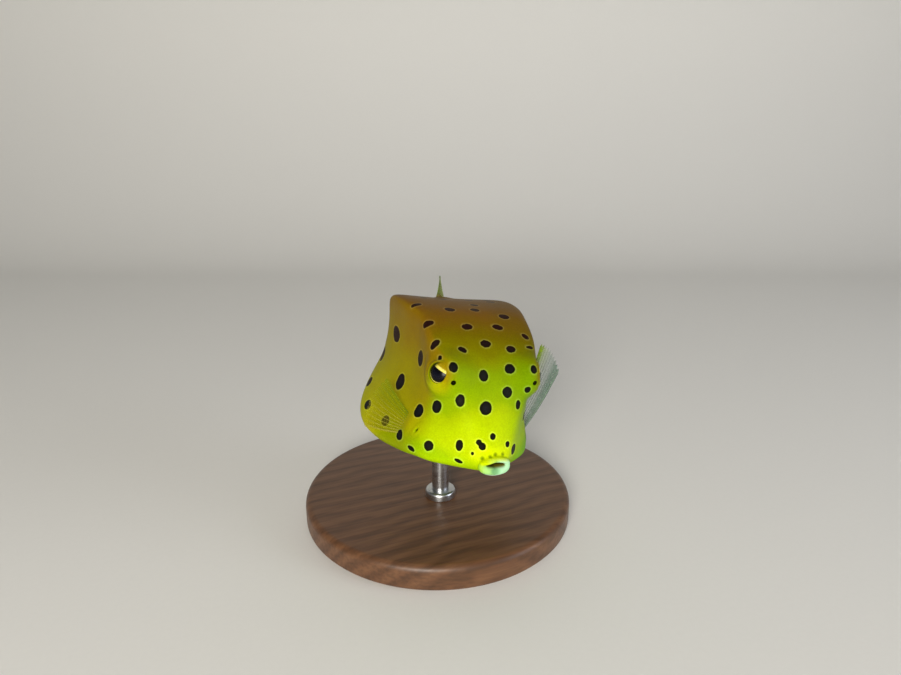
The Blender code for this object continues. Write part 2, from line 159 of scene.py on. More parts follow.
# The body. Each row is one slanted cut through the bony shell, front to back:
# back line (y, z), belly line (y, z), ridge (half, level), flank (half, level), keel (half, level).
shell = {
    "rows": (
        (0.5, 1.4, 0.5, -2.0, 2.4, 0.86, 3.3, 0.50, 2.5, 0.14),
        (1.3, 2.8, 1.6, -2.9, 3.0, 0.86, 4.3, 0.50, 3.6, 0.14),
        (2.7, 5.0, 2.9, -3.5, 3.9, 0.88, 5.7, 0.42, 5.5, 0.14),
        (4.6, 8.7, 4.8, -4.1, 5.3, 0.90, 7.4, 0.42, 8.4, 0.12),
        (7.4, 13.3, 7.4, -4.9, 8.2, 0.92, 9.2, 0.44, 11.6, 0.11),
        (11.0, 17.6, 10.4, -5.8, 10.6, 0.945, 11.3, 0.46, 13.6, 0.10),
        (15.6, 21.0, 14.2, -6.9, 12.2, 0.935, 12.2, 0.48, 15.6, 0.095),
        (21.5, 23.2, 19.6, -7.7, 12.7, 0.94, 12.6, 0.48, 18.0, 0.09),
        (28.0, 22.9, 26.6, -8.2, 14.0, 0.955, 13.2, 0.48, 19.0, 0.09),
        (34.4, 21.1, 33.4, -7.6, 14.0, 0.985, 13.2, 0.48, 17.6, 0.095),
        (39.6, 19.2, 39.2, -5.2, 12.6, 0.965, 12.0, 0.48, 14.2, 0.11),
        (43.6, 16.9, 43.6, -1.8, 8.8, 0.93, 9.0, 0.50, 9.6, 0.12),
        (46.4, 13.8, 46.6, 1.5, 4.9, 0.88, 5.0, 0.50, 5.4, 0.13),
        (48.6, 11.0, 48.8, 3.2, 2.6, 0.86, 3.0, 0.50, 2.7, 0.14),
        (51.6, 9.9, 51.8, 4.0, 1.5, 0.86, 1.8, 0.50, 1.5, 0.14),
        (54.6, 9.8, 54.8, 4.0, 0.9, 0.86, 1.1, 0.50, 0.9, 0.14),
    ),
    "rings": 290, "stepsPerQuarter": 56,
    "bendFrom": 46.5, "bendLength": 11.0, "bendAngle": math.radians(64.0),
    "tailEnd": (20, 40, 60, 78), "tailRound": 0.8,  # the rounded end of the tail stalk, in degrees
}

eyes = {
    "centre": (10.1, 10.9, 14.3), "axis": (0.85, -0.40, 0.30), "radius": 2.7, "flatten": 0.82,
    "lidHeight": 1.55, "lidRadius": 2.7,
    "orbitRadius": 5.6, "orbitDeepest": -6.5, "orbitFade": 3.0,
    "goldFrom": 2.3, "goldPouch": 0.9, "goldFade": 1.9, "goldLostBehind": 0.85,
    "pupil": (1.92, 1.80), "pupilAt": 0.14, "pupilCut": (-0.02, 1.0, 0.74), "foldBeyond": 0.42,
    "around": 72, "down": 60,
}


def readAlong(rows, where):
    last = len(rows) - 1
    where = np.clip(where, 0, last - 1e-9)
    index = np.minimum(np.floor(where).astype(int), last - 1)
    share = (where - index)[:, None]
    before, here = rows[np.clip(index - 1, 0, last)], rows[index]
    there, after = rows[index + 1], rows[np.clip(index + 2, 0, last)]
    bend = 2 * before - 5 * here + 4 * there - after
    twist = 3 * (here - there) + after - before
    return here + 0.5 * share * ((there - before) + share * (bend + share * twist))


def cornerArc(start, corner, end, slope, shares):
    rise = ((8 * corner[:, 1] - start[:, 1] - end[:, 1]) / 3 - start[:, 1] - end[:, 1]) / slope[:, 1]
    reach = (8 * corner[:, 0] - end[:, 0]) / 3 - end[:, 0] - rise * slope[:, 0]
    first = np.stack([reach, start[:, 1]], 1)[:, None]
    second = (end + rise[:, None] * slope)[:, None]
    t = shares[None, :, None]
    ends = (1 - t) ** 3 * start[:, None] + t ** 3 * end[:, None]
    return ends + 3 * (1 - t) ** 2 * t * first + 3 * (1 - t) * t * t * second


def shellRings(where):
    rows = readAlong(np.array(shell["rows"]), where)
    backLine, bellyLine = rows[:, 0:2], rows[:, 2:4]
    height = np.linalg.norm(backLine - bellyLine, axis=1)
    upward = ((backLine - bellyLine) / height[:, None])[:, None]
    ridge, flank, keel = (rows[:, k:k + 2] * np.stack([np.ones_like(height), height], 1) for k in (4, 6, 8))
    top, bottom = (np.stack([0 * height, share * height], 1) for share in (1, 0))
    slope = unit(ridge - keel)
    shares = np.linspace(0, 1, shell["stepsPerQuarter"] + 1)
    upper = cornerArc(top, ridge, flank, slope, shares)
    lower = cornerArc(bottom, keel, flank, slope, shares)[:, ::-1][:, 1:]
    half = np.concatenate([upper, lower], 1)
    left = np.concatenate([half[..., :1], bellyLine[:, None] + half[..., 1:] * upward], 2)
    return np.concatenate([left, left[:, -2:0:-1] * (-1, 1, 1)], 1)


def eyeFrame(side):
    return np.array(eyes["centre"]) * (side, 1, 1), unit(np.array(eyes["axis"]) * (side, 1, 1))


def seenFromEye(points, side):
    # How far each point lies along the eye's axis, its offset square to the axis, and how long that is.
    centre, axis = eyeFrame(side)
    along = (points - centre) @ axis
    flat = points - centre - along[:, None] * axis
    return along, flat, np.linalg.norm(flat, axis=1)


def liftOrbits(points):
    lifted = points.reshape(-1, 3).copy()
    for side in (1, -1):
        along, flat, away = seenFromEye(lifted, side)
        hold = 1 - smoothStep((away - eyes["lidRadius"]) / (eyes["orbitRadius"] - eyes["lidRadius"]))
        hold *= smoothStep((along - eyes["orbitDeepest"]) / eyes["orbitFade"])
        lifted += (hold * (eyes["lidHeight"] - along))[:, None] * eyeFrame(side)[1]
    return lifted.reshape(points.shape)


def bendTail(points):
    along = points[..., 1] - shell["bendFrom"]
    radius = shell["bendLength"] / shell["bendAngle"]
    turned = np.clip(along / shell["bendLength"], 0, 1) * shell["bendAngle"]
    rest = np.maximum(along - shell["bendLength"], 0)
    across = radius * (1 - np.cos(turned)) + rest * np.sin(turned) + points[..., 0] * np.cos(turned)
    back = radius * np.sin(turned) + rest * np.cos(turned) - points[..., 0] * np.sin(turned)
    bent = np.stack([across, shell["bendFrom"] + back, points[..., 2]], -1)
    return np.where((along > 0)[..., None], bent, points)


# Fins: root line, tip line, how far the rim bows out (swell), how far the middle bows sideways (cup)
# and along (bow). Veil is how much the membrane hides, from its front edge to its rear.
finUsual = {"swell": 1.0, "cup": 0.0, "bow": 0.0, "rays": 10, "mound": 0.0, "bent": False, "rayScale": 1.0}
fins = {
    "fin_tail": {
        "root": ((0, 53.6, 9.6), (0, 53.6, 4.2)), "tip": ((0, 65.2, 12.2), (0, 65.2, 0.4)),
        "swell": 2.8, "base": 1.5, "bent": True, "fleshyTo": 0.30,
        "veil": (0.62, 0.50, 0.45, 0.50, 0.62), "tint": "8c8a1c", "rayTint": "a8a03c", "rayVeil": 0.9,
    },
    "fin_dorsal": {
        "root": ((0.0, 37.6, 18.4), (0.0, 42.4, 16.6)), "tip": ((-0.6, 41.6, 23.4), (1.8, 46.4, 21.2)),
        "rays": 9, "base": 1.9, "mound": 0.9, "fleshyTo": 0.52,
        "veil": (0.42, 0.34, 0.30, 0.32, 0.42), "tint": "6f8a4c", "rayTint": "8a9456", "rayVeil": 0.6,
    },
    "fin_anal": {
        "root": ((0.0, 40.4, -3.0), (0.0, 44.8, 0.0)), "tip": ((0.4, 44.4, -9.0), (2.4, 49.2, -5.6)),
        "rays": 9, "base": 1.7, "mound": 0.8, "fleshyTo": 0.45,
        "veil": (0.46, 0.36, 0.32, 0.36, 0.46), "tint": "8c8a1c", "rayTint": "a8a03c", "rayVeil": 0.7,
    },
    "fin_pectoral_left": {
        "root": ((12.8, 12.8, -2.6), (12.0, 15.2, 2.0)), "tip": ((22.4, 17.6, 11.6), (17.8, 21.0, 16.9)),
        "swell": 1.4, "cup": 0.8, "bow": 0.9, "base": 1.3, "mound": 0.6, "fleshyTo": 0.16,
        "veil": (0.55, 0.48, 0.16, 0.14, 0.85), "tint": "5c7868", "rayTint": "8fa38c", "rayVeil": 0.40,
    },
    "fin_pectoral_right": {
        "root": ((-14.0, 13.4, -1.2), (-12.8, 13.8, 2.2)), "tip": ((-20.2, 22.0, -4.6), (-16.2, 24.0, 6.4)),
        "swell": 1.2, "cup": 0.6, "bow": 0.4, "base": 1.3, "mound": 0.6, "fleshyTo": 0.14,
        "veil": (0.22, 0.11, 0.08, 0.08, 0.16), "tint": "aaa20c", "rayTint": "bdb848", "rayVeil": 0.55,
        "rayScale": 0.55,
    },
}
fins = {node: {**finUsual, **fin} for node, fin in fins.items()}
finMake = {
    "columnsPerRay": 8, "rows": 40, "sheet": 0.14, "scallop": 0.035, "ripple": 0.10, "moundReach": 1.5,
    "veilAt": (0.0, 0.20, 0.34, 0.76, 0.94), "fleshColour": "9c6a08", "backTint": "7f9a0c",
    "fork": 0.5, "forkSpread": 0.17, "rayEnd": 0.985, "stepsPerRay": 14,
    "rayRootRadius": 0.20, "rayTipRadius": 0.07, "leadingRay": 1.8, "raySides": 8,
}


def finPoint(fin, share, out):
    rootFront, rootBack, tipFront, tipBack = np.array((*fin["root"], *fin["tip"]), dtype=float)
    share, out = (np.asarray(value, dtype=float)[..., None] for value in (share, out))
    root = rootFront + share * (rootBack - rootFront)
    tip = tipFront + share * (tipBack - tipFront)
    ray = tip - root
    tip = tip + unit(ray) * fin["swell"] * np.sin(np.pi * share)
    rootward = unit(rootBack - rootFront)
    sideways = unit(np.cross(rootward, ray))
    cup = fin["cup"] * np.sin(np.pi * share) * np.sin(np.pi * out * 0.5)
    return root + out * (tip - root) + sideways * cup - rootward * fin["bow"] * np.sin(np.pi * out)


def raiseMounds(grid):
    across = np.roll(grid, -1, axis=1) - np.roll(grid, 1, axis=1)
    normal = unit(np.cross(across, np.gradient(grid, axis=0)))
    for fin in fins.values():
        start, end = np.array(fin["root"], dtype=float)
        line = end - start
        share = np.clip(((grid - start) @ line) / (line @ line), 0, 1)
        away = np.linalg.norm(grid - (start + share[..., None] * line), axis=2)
        grid = grid + normal * (fin["mound"] * np.exp(-(away / finMake["moundReach"]) ** 2))[..., None]
    return grid


# Lips: one roll of soft skin all round the mouth, thin above and full below.
lips = {
    "cornerX": 2.72, "upperX": 2.80, "lowerX": 3.10,
    "cornerZ": -0.10, "upperZ": 0.94, "lowerZ": -1.40,
    "cornerUp": 0.70, "upperUp": 0.52, "lowerUp": 1.05,
    "cornerOut": 0.60, "upperOut": 0.78, "lowerOut": 1.45,
    "rings": 30, "rollFrom": -25, "rollFromAbove": 9, "rollTo": 200, "groove": 0.07, "sag": 0.34,
    "insideRings": 10, "insideDepth": 1.9, "insideNarrows": 0.35, "forward": 0.12,
    "ringWide": 3.3, "ringTall": 1.7, "ringDrop": 0.3,  # the skin's first ring, about an oval
    "dotCore": 0.18, "dotFade": 0.42, "dotShare": 0.8,
    # Tone of the mint skin from the fish's right to its left, over the clear roll and in its wedge of
    # painted shade.
    "clear": ((-3.4, -2.3, -0.9, 0.6, 2.0, 3.4), (0.0, 0.26, 0.36, 0.84, 0.86, 0.80)),
    "wedge": ((-3.4, -2.6, -1.5, -0.8, 0.1, 1.1, 3.4), (0.0, 0.24, 0.34, 0.55, 0.60, 0.84, 0.80)),
    # Faint olive dots on the upper lip, (x, z) from in front.
    "dots": ((-2.7, 0.86), (-1.15, 1.28), (0.05, 1.58), (1.8, 1.50)),
}


def lipRings(firstRing):
    # From the skin's first ring forward round the lip, then back into the mouth.
    up = (firstRing[:, 2] + lips["ringDrop"]) / lips["ringTall"]
    theta = np.arctan2(up, firstRing[:, 0] / lips["ringWide"])
    side, lift = np.cos(theta), np.sin(theta)
    above, below = np.clip(lift, 0, 1), np.clip(-lift, 0, 1)

    def spread(name, power):
        corner, upper, lower = (lips[part + name] for part in ("corner", "upper", "lower"))
        return corner + (upper - corner) * above ** power + (lower - corner) * below ** power

    middleX = spread("X", 1.0) * side
    middleZ = spread("Z", 0.9) - lips["sag"] * above * smoothStep(-side / 0.7)
    rollUp, rollOut = spread("Up", 0.8), spread("Out", 0.7)
    outX, outZ = side / 2.2, lift / 1.3
    length = np.hypot(outX, outZ)
    outX, outZ = outX / length, outZ / length
    # Above the mouth there is no groove.
    start = lips["rollFrom"] + (lips["rollFromAbove"] - lips["rollFrom"]) * above
    rings, lipShare, inside = [], [0.0], [0.0]
    for share in np.linspace(0, 1, lips["rings"]):
        psi = np.radians(start + (lips["rollTo"] - start) * share)
        reach = rollUp * np.cos(psi)
        forward = -lips["forward"] - rollOut * np.sin(psi)
        rings.append(np.stack([middleX + outX * reach, forward, middleZ + outZ * reach], 1))
        lipShare.append(float(smoothStep(len(rings) / 5)))
        inside.append(float(smoothStep((225 * share - 153) / 38)))
    groove = 0.5 * (firstRing + rings[0])
    groove -= np.stack([outX, 0 * outX, outZ], 1) * (lips["groove"] * (1 - above))[:, None]
    rings.insert(0, groove)
    rim = rings[-1]
    for share in np.linspace(0, 1, lips["insideRings"] + 1)[1:]:
        ring = rim.copy()
        ring[:, 0] *= 1 - lips["insideNarrows"] * share ** 2
        ring[:, 1] += share * lips["insideDepth"]
        ring[:, 2] += (rim[:, 2] + 0.1) * (0.5 * math.sin(math.pi * share)) - 0.35 * share
        rings.append(ring)
        lipShare.append(1.0)
        inside.append(1.0)
    return rings[::-1], lipShare[::-1], inside[::-1]


def bodyGrid():
    # Rings stand evenly along the body, so the short snout is as fine as the flank.
    fine = np.linspace(0, len(shell["rows"]) - 1, 1500)
    rough = liftOrbits(shellRings(fine))
    steps = np.linalg.norm(np.diff(rough[:, ::8], axis=0), axis=2)
    length = np.concatenate([[0], np.cumsum(steps.mean(1) + 0.5 * steps.max(1))])
    where = np.interp(np.linspace(0, length[-1], shell["rings"]), length, fine)
    grid = raiseMounds(liftOrbits(shellRings(where)))
    front, lipShare, inside = lipRings(grid[0])
    middle = grid[-1].mean(0)
    tail = []
    for angle in np.radians(shell["tailEnd"]):
        ring = middle + (grid[-1] - middle) * math.cos(angle)
        ring[:, 1] += shell["tailRound"] * math.sin(angle)
        tail.append(ring)
    rings = np.concatenate([front, grid, tail])
    behind = [0.0] * (len(rings) - len(front))
    return rings, lipShare + behind, inside + behind


# Openings: half sizes of the hole, how it leans, the rim ring where the painted shade of its pit starts,
# and the rolled rim as (share of the hole's size, height over the rim) from the skin inwards.
openings = {
    "eye": {
        "size": (2.7, 2.7), "lean": 0.0, "pit": 9,
        "rim": ((0.965, 0.09), (0.93, 0.19), (0.895, 0.28), (0.86, 0.335), (0.83, 0.35), (0.80, 0.33),
                (0.78, 0.27), (0.765, 0.18), (0.755, 0.06), (0.75, -0.2), (0.74, -0.6)),
    },
    "nostril": {
        "size": (0.85, 0.80), "lean": 0.0, "pit": 4,
        "from": (0, 12, 11), "towards": (9.24, 7.2, 14.15),
        "rim": ((0.90, 0.02), (0.80, 0.06), (0.70, 0.08), (0.62, 0.05), (0.57, -0.02), (0.53, -0.14),
                (0.48, -0.30), (0.36, -0.48), (0.18, -0.56)),
    },
    "gill": {
        "size": (0.95, 2.3), "lean": 20.0, "pit": 8,
        "from": (0, 11.4, 0.9), "towards": (1, 11.4, 0.9),
        "rim": ((0.88, 0.01), (0.76, 0.03), (0.62, 0.06), (0.48, 0.07), (0.36, 0.04), (0.26, -0.04),
                (0.20, -0.20), (0.16, -0.45), (0.11, -0.70)),
    },
}


def openSkin(bm, skin, opening, centre, axis):
    # Cuts a hole out of the skin, rounds its edge, and turns the skin in over a rolled rim.
    pitLayer, rimLayer = (bm.verts.layers.float[name] for name in ("pitShade", "openingRim"))
    axis = Vector(axis).normalized()
    acrossWay = Vector((0, 0, 1)).cross(axis).normalized()
    lean = math.radians(opening["lean"])
    longWay = axis.cross(acrossWay) * math.cos(lean) + acrossWay * math.sin(lean)
    wideWay = longWay.cross(axis)
    wide, tall = opening["size"]
    centre = Vector(centre)

    def inHole(point):
        offset = point - centre
        if abs(offset.dot(axis)) > 3.0:
            return 9.0, 0.0
        a, b = offset.dot(wideWay) / wide, offset.dot(longWay) / tall
        return math.hypot(a, b), math.atan2(b, a)

    def onRim(angle, size=1.0):
        return centre + wideWay * wide * size * math.cos(angle) + longWay * tall * size * math.sin(angle)

    doomed = [vertex for vertex in bm.verts if inHole(vertex.co)[0] < 1.0 and not vertex[rimLayer]]
    bmesh.ops.delete(bm, geom=doomed, context="VERTS")
    # The edge of the hole is walked from neighbour to neighbour, anticlockwise seen from outside.
    beside = {}
    for edge in bm.edges:
        if edge.is_boundary:
            for vertex in edge.verts:
                beside.setdefault(vertex, []).append(edge.other_vert(vertex))
    loop = [next(iter(beside))]
    loop.append(beside[loop[0]][0])
    while len(loop) < len(beside):
        loop.append(next(vertex for vertex in beside[loop[-1]] if vertex is not loop[-2]))
    angles = np.unwrap([inHole(vertex.co)[1] for vertex in loop])
    if angles[-1] < angles[0]:
        loop = loop[::-1]
    angles = np.sort(angles)
    heights = []
    for vertex, angle in zip(loop, angles):
        vertex.co = skin.ray_cast(onRim(angle) + axis * 4, -axis)[0] or onRim(angle)
        heights.append((vertex.co - centre).dot(axis))
    mean = sum(heights) / len(heights)
    previous = loop
    for k, (size, height) in enumerate(opening["rim"]):
        ring = []
        for angle, ownHeight in zip(angles, heights):
            settle = ownHeight + (mean - ownHeight) * min(1.0, (1 - size) * 1.6)
            vertex = bm.verts.new(onRim(angle, size) + axis * (settle + height))
            vertex[pitLayer] = min(max((k - opening["pit"] + 2) / 2, 0.0), 1.0)
            vertex[rimLayer] = 1.0
            ring.append(vertex)
        joinRings(bm, [previous, ring])
        previous = ring
    closeRing(bm, previous)[pitLayer] = 1.0


def buildSkin():
    bm = bmesh.new()
    for name in ("lipShare", "mouthInside", "pitShade", "openingRim"):
        bm.verts.layers.float.new(name)
    lipLayer, insideLayer = (bm.verts.layers.float[name] for name in ("lipShare", "mouthInside"))
    loops = []
    for ring, lip, deep in zip(*bodyGrid()):
        loops.append([bm.verts.new(point) for point in ring])
        for vertex in loops[-1]:
            vertex[lipLayer], vertex[insideLayer] = lip, deep
    joinRings(bm, loops)
    for loop in (loops[0], loops[-1]):
        hub = closeRing(bm, loop)
        hub[lipLayer], hub[insideLayer] = loop[0][lipLayer], loop[0][insideLayer]
    bm.normal_update()
    skin = BVHTree.FromBMesh(bm)
    for side in (1, -1):
        openSkin(bm, skin, openings["eye"], *eyeFrame(side))
        for name in ("nostril", "gill"):
            start = Vector(openings[name]["from"])
            towards = Vector(np.array(openings[name]["towards"]) * (side, 1, 1))
            openSkin(bm, skin, openings[name], *skin.ray_cast(start, (towards - start).normalized())[:2])
    return meshFrom(bm, "boxfishSkin"), skin


# Spots: two places in millimetres, width, height and any tilt in degrees, cast on the skin from one way.
# face: (x, z) from in front. flank: (y, z) from the side. back: (x, y) from above.
spots = {
    "face": (
        (-2.2, 15.0, 2.1, 2.5), (3.9, 16.2, 2.3, 2.2), (8.9, 16.7, 1.6, 1.9),
        (-7.3, 10.6, 1.9, 2.6), (-2.0, 9.6, 2.7, 2.75), (3.0, 12.3, 2.3, 2.3),
        (7.8, 12.7, 1.6, 1.4, -20), (5.6, 10.0, 1.3, 2.0), (-6.5, 1.8, 1.6, 2.3),
        (-3.3, 3.5, 1.25, 1.2), (-2.65, 2.9, 1.6, 1.55), (-0.4, 4.6, 1.3, 1.3),
        (3.2, 3.0, 1.3, 1.3), (5.5, 1.1, 2.7, 2.3), (-6.3, -1.3, 1.8, 0.9, -10),
        (-9.3, 16.9, 1.9, 2.1), (-4.4, 1.2, 0.7, 0.8), (-0.4, -3.6, 1.2, 1.0),
    ),
    "back": (
        (-12.4, 25.2, 2.5, 1.3), (-12.0, 18.7, 2.6, 1.6), (-5.9, 22.5, 2.5, 1.8),
        (0.2, 22.9, 2.3, 1.7), (1.5, 26.1, 2.2, 1.5), (6.3, 20.7, 2.6, 1.8),
        (-3.8, 17.2, 2.6, 1.7, 8), (3.4, 17.4, 2.6, 1.6, -10), (9.6, 15.6, 1.9, 1.3, -30),
        (-6.2, 12.4, 2.0, 1.3, -25), (-0.6, 13.6, 2.4, 1.8), (5.0, 12.7, 2.3, 1.6),
        (9.9, 13.4, 2.0, 0.8), (-8.4, 31.0, 1.8, 1.6), (8.0, 30.6, 2.2, 1.9),
        (-3.6, 31.4, 2.3, 2.1), (3.4, 32.6, 2.2, 2.0), (9.0, 34.4, 2.1, 2.0),
        (-9.0, 34.8, 2.1, 1.9), (-3.0, 37.6, 1.7, 1.6), (5.2, 38.4, 1.8, 1.7),
    ),
    "leftFlank": (
        (8.9, 5.2, 2.2, 2.2), (20.5, 20.2, 2.2, 1.2), (26.6, 10.4, 1.9, 1.9),
        (33.2, 3.2, 1.8, 1.8),
    ),
    "rightFlank": (
        (9.7, 7.4, 2.2, 2.8), (13.2, 4.4, 2.5, 2.9), (18.7, 13.7, 2.8, 3.5),
        (23.4, 5.6, 3.2, 3.7), (31.7, 13.1, 4.2, 3.7), (37.6, 5.2, 2.9, 3.8),
        (28.4, -3.0, 3.2, 2.2), (19.6, -1.8, 2.5, 2.3), (14.0, -1.8, 2.1, 2.3),
        (7.8, -0.6, 2.1, 2.2), (10.4, -2.9, 2.0, 1.1), (35.8, -1.2, 2.7, 2.6),
        (40.4, 12.4, 2.0, 1.9), (14.2, 19.0, 1.4, 2.7), (11.6, 17.3, 1.1, 1.0),
    ),
    # The belly has a few pale-ringed dots along each keel, at y, further out towards the back.
    "bellyAt": (9, 15, 21, 27, 33), "bellyOut": 2.4, "bellySpread": 0.22, "bellySize": (0.9, 0.85),
    "jitter": 0.7, "seed": 11, "farEdge": 3.0,
}


def castSpot(skin, region, spot):
    first, second, wide, tall = spot[:4]
    lean = math.radians(spot[4]) if len(spot) > 4 else 0.0
    start, way, level = {
        "face": ((first, -12, second), (0, 1, 0), (1, 0, 0)),
        "back": ((first, second, 40), (0, 0, -1), (1, 0, 0)),
        "leftFlank": ((40, first, second), (-1, 0, 0), (0, 1, 0)),
        "rightFlank": ((-40, first, second), (1, 0, 0), (0, 1, 0)),
    }[region]
    at, normal = skin.ray_cast(Vector(start), Vector(way))[:2]
    wideWay = Vector(level) - normal * normal.dot(Vector(level))
    wideWay.normalize()
    tallWay = normal.cross(wideWay)
    if tallWay.dot(Vector((0, 0.4, 1))) < 0:
        tallWay.negate()
    leant = wideWay * math.cos(lean) + tallWay * math.sin(lean)
    upright = tallWay * math.cos(lean) - wideWay * math.sin(lean)
    return (*(np.array(item) for item in (at, leant, upright, normal)), wide / 2, tall / 2)


def castSpots(skin):
    chance = np.random.default_rng(spots["seed"])
    cast = [castSpot(skin, region, spot)
            for region in ("face", "back", "leftFlank") for spot in spots[region]]
    for spot in spots["rightFlank"]:
        cast.append(castSpot(skin, "rightFlank", spot))
        # The left flank, which faces away, has its own spots much like the right one's.
        moved = chance.uniform(-spots["jitter"], spots["jitter"], 2)
        if spot[0] > 10.0 and spot[1] < 18.0:
            cast.append(castSpot(skin, "leftFlank", (spot[0] + moved[0], spot[1] + moved[1], *spot[2:])))
    for y in spots["bellyAt"]:
        for side in (-1, 1):
            across = side * (spots["bellyOut"] + spots["bellySpread"] * y) + chance.uniform(-1, 1)
            place = Vector((across, y + chance.uniform(-1.2, 1.2), -30))
            at, normal = (np.array(item) for item in skin.ray_cast(place, Vector((0, 0, 1)))[:2])
            wideWay = np.array((1.0, 0, 0))
            cast.append((at, wideWay, np.cross(normal, wideWay), normal, *spots["bellySize"]))
    return cast


def spotEdges(points, cast):
    # Distance in millimetres from each point to the nearest spot's edge, less than 0 inside it.
    nearest = np.full(len(points), spots["farEdge"])
    for at, wideWay, tallWay, normal, wide, tall in cast:
        offset = points - at
        near = np.linalg.norm(offset, axis=1) < 2.2 * max(wide, tall) + spots["farEdge"]
        a, b, lift = (offset[near] @ way for way in (wideWay, tallWay, normal))
        # Depth counts too, so a spot near a ridge doesn't trail down its far side.
        outer = np.sqrt((a / wide) ** 2 + (b / tall) ** 2 + (lift / max(wide, tall)) ** 2)
        inner = np.sqrt((a / wide ** 2) ** 2 + (b / tall ** 2) ** 2) + 1e-6
        edge = np.where(outer < 0.3, -min(wide, tall) * (1 - outer), outer * (outer - 1) / inner)
        edge = np.where(np.abs(lift) > 3.0, spots["farEdge"], edge)
        nearest[near] = np.minimum(nearest[near], edge)
    return np.clip(nearest, -2.0, spots["farEdge"])


# Ground colour in millimetres: the face from snout to back, at y + z, and the flanks upwards, at z.
# The ramps hold painted shade as well as the fish's own colours: they darken towards the back and up the
# flanks, where less light falls.
ground = {
    "face": ((0.0, 50.0), (
        (2.5, "cbde00"), (5.0, "b8cf00"), (9.5, "adc500"), (13.0, "a1b500"), (16.0, "8ba600"),
        (20.0, "819e00"), (24.0, "799100"), (28.0, "798000"), (31.0, "716d00"), (35.0, "6c5e01"),
        (40.0, "6e5406"), (45.0, "74500c"))),
    "flank": ((-8.0, 24.0), (
        (-8.0, "ada900"), (-4.0, "a0a000"), (2.0, "959002"), (7.0, "8b8202"), (10.0, "887c02"),
        (15.0, "826d04"), (18.0, "7e6506"), (22.0, "785a0a"))),
    # Painted shade on the fish's left cheek and on the chin: the share of red, green and blue that each
    # loses.
    "leftCheekShadeLoss": (0.28, 0.16, 0.0),
    "chinShadeLoss": (0.38, 0.22, 0.0),
    "cloudLift": 8.0,  # how far the clouding shifts the tones, in millimetres
}


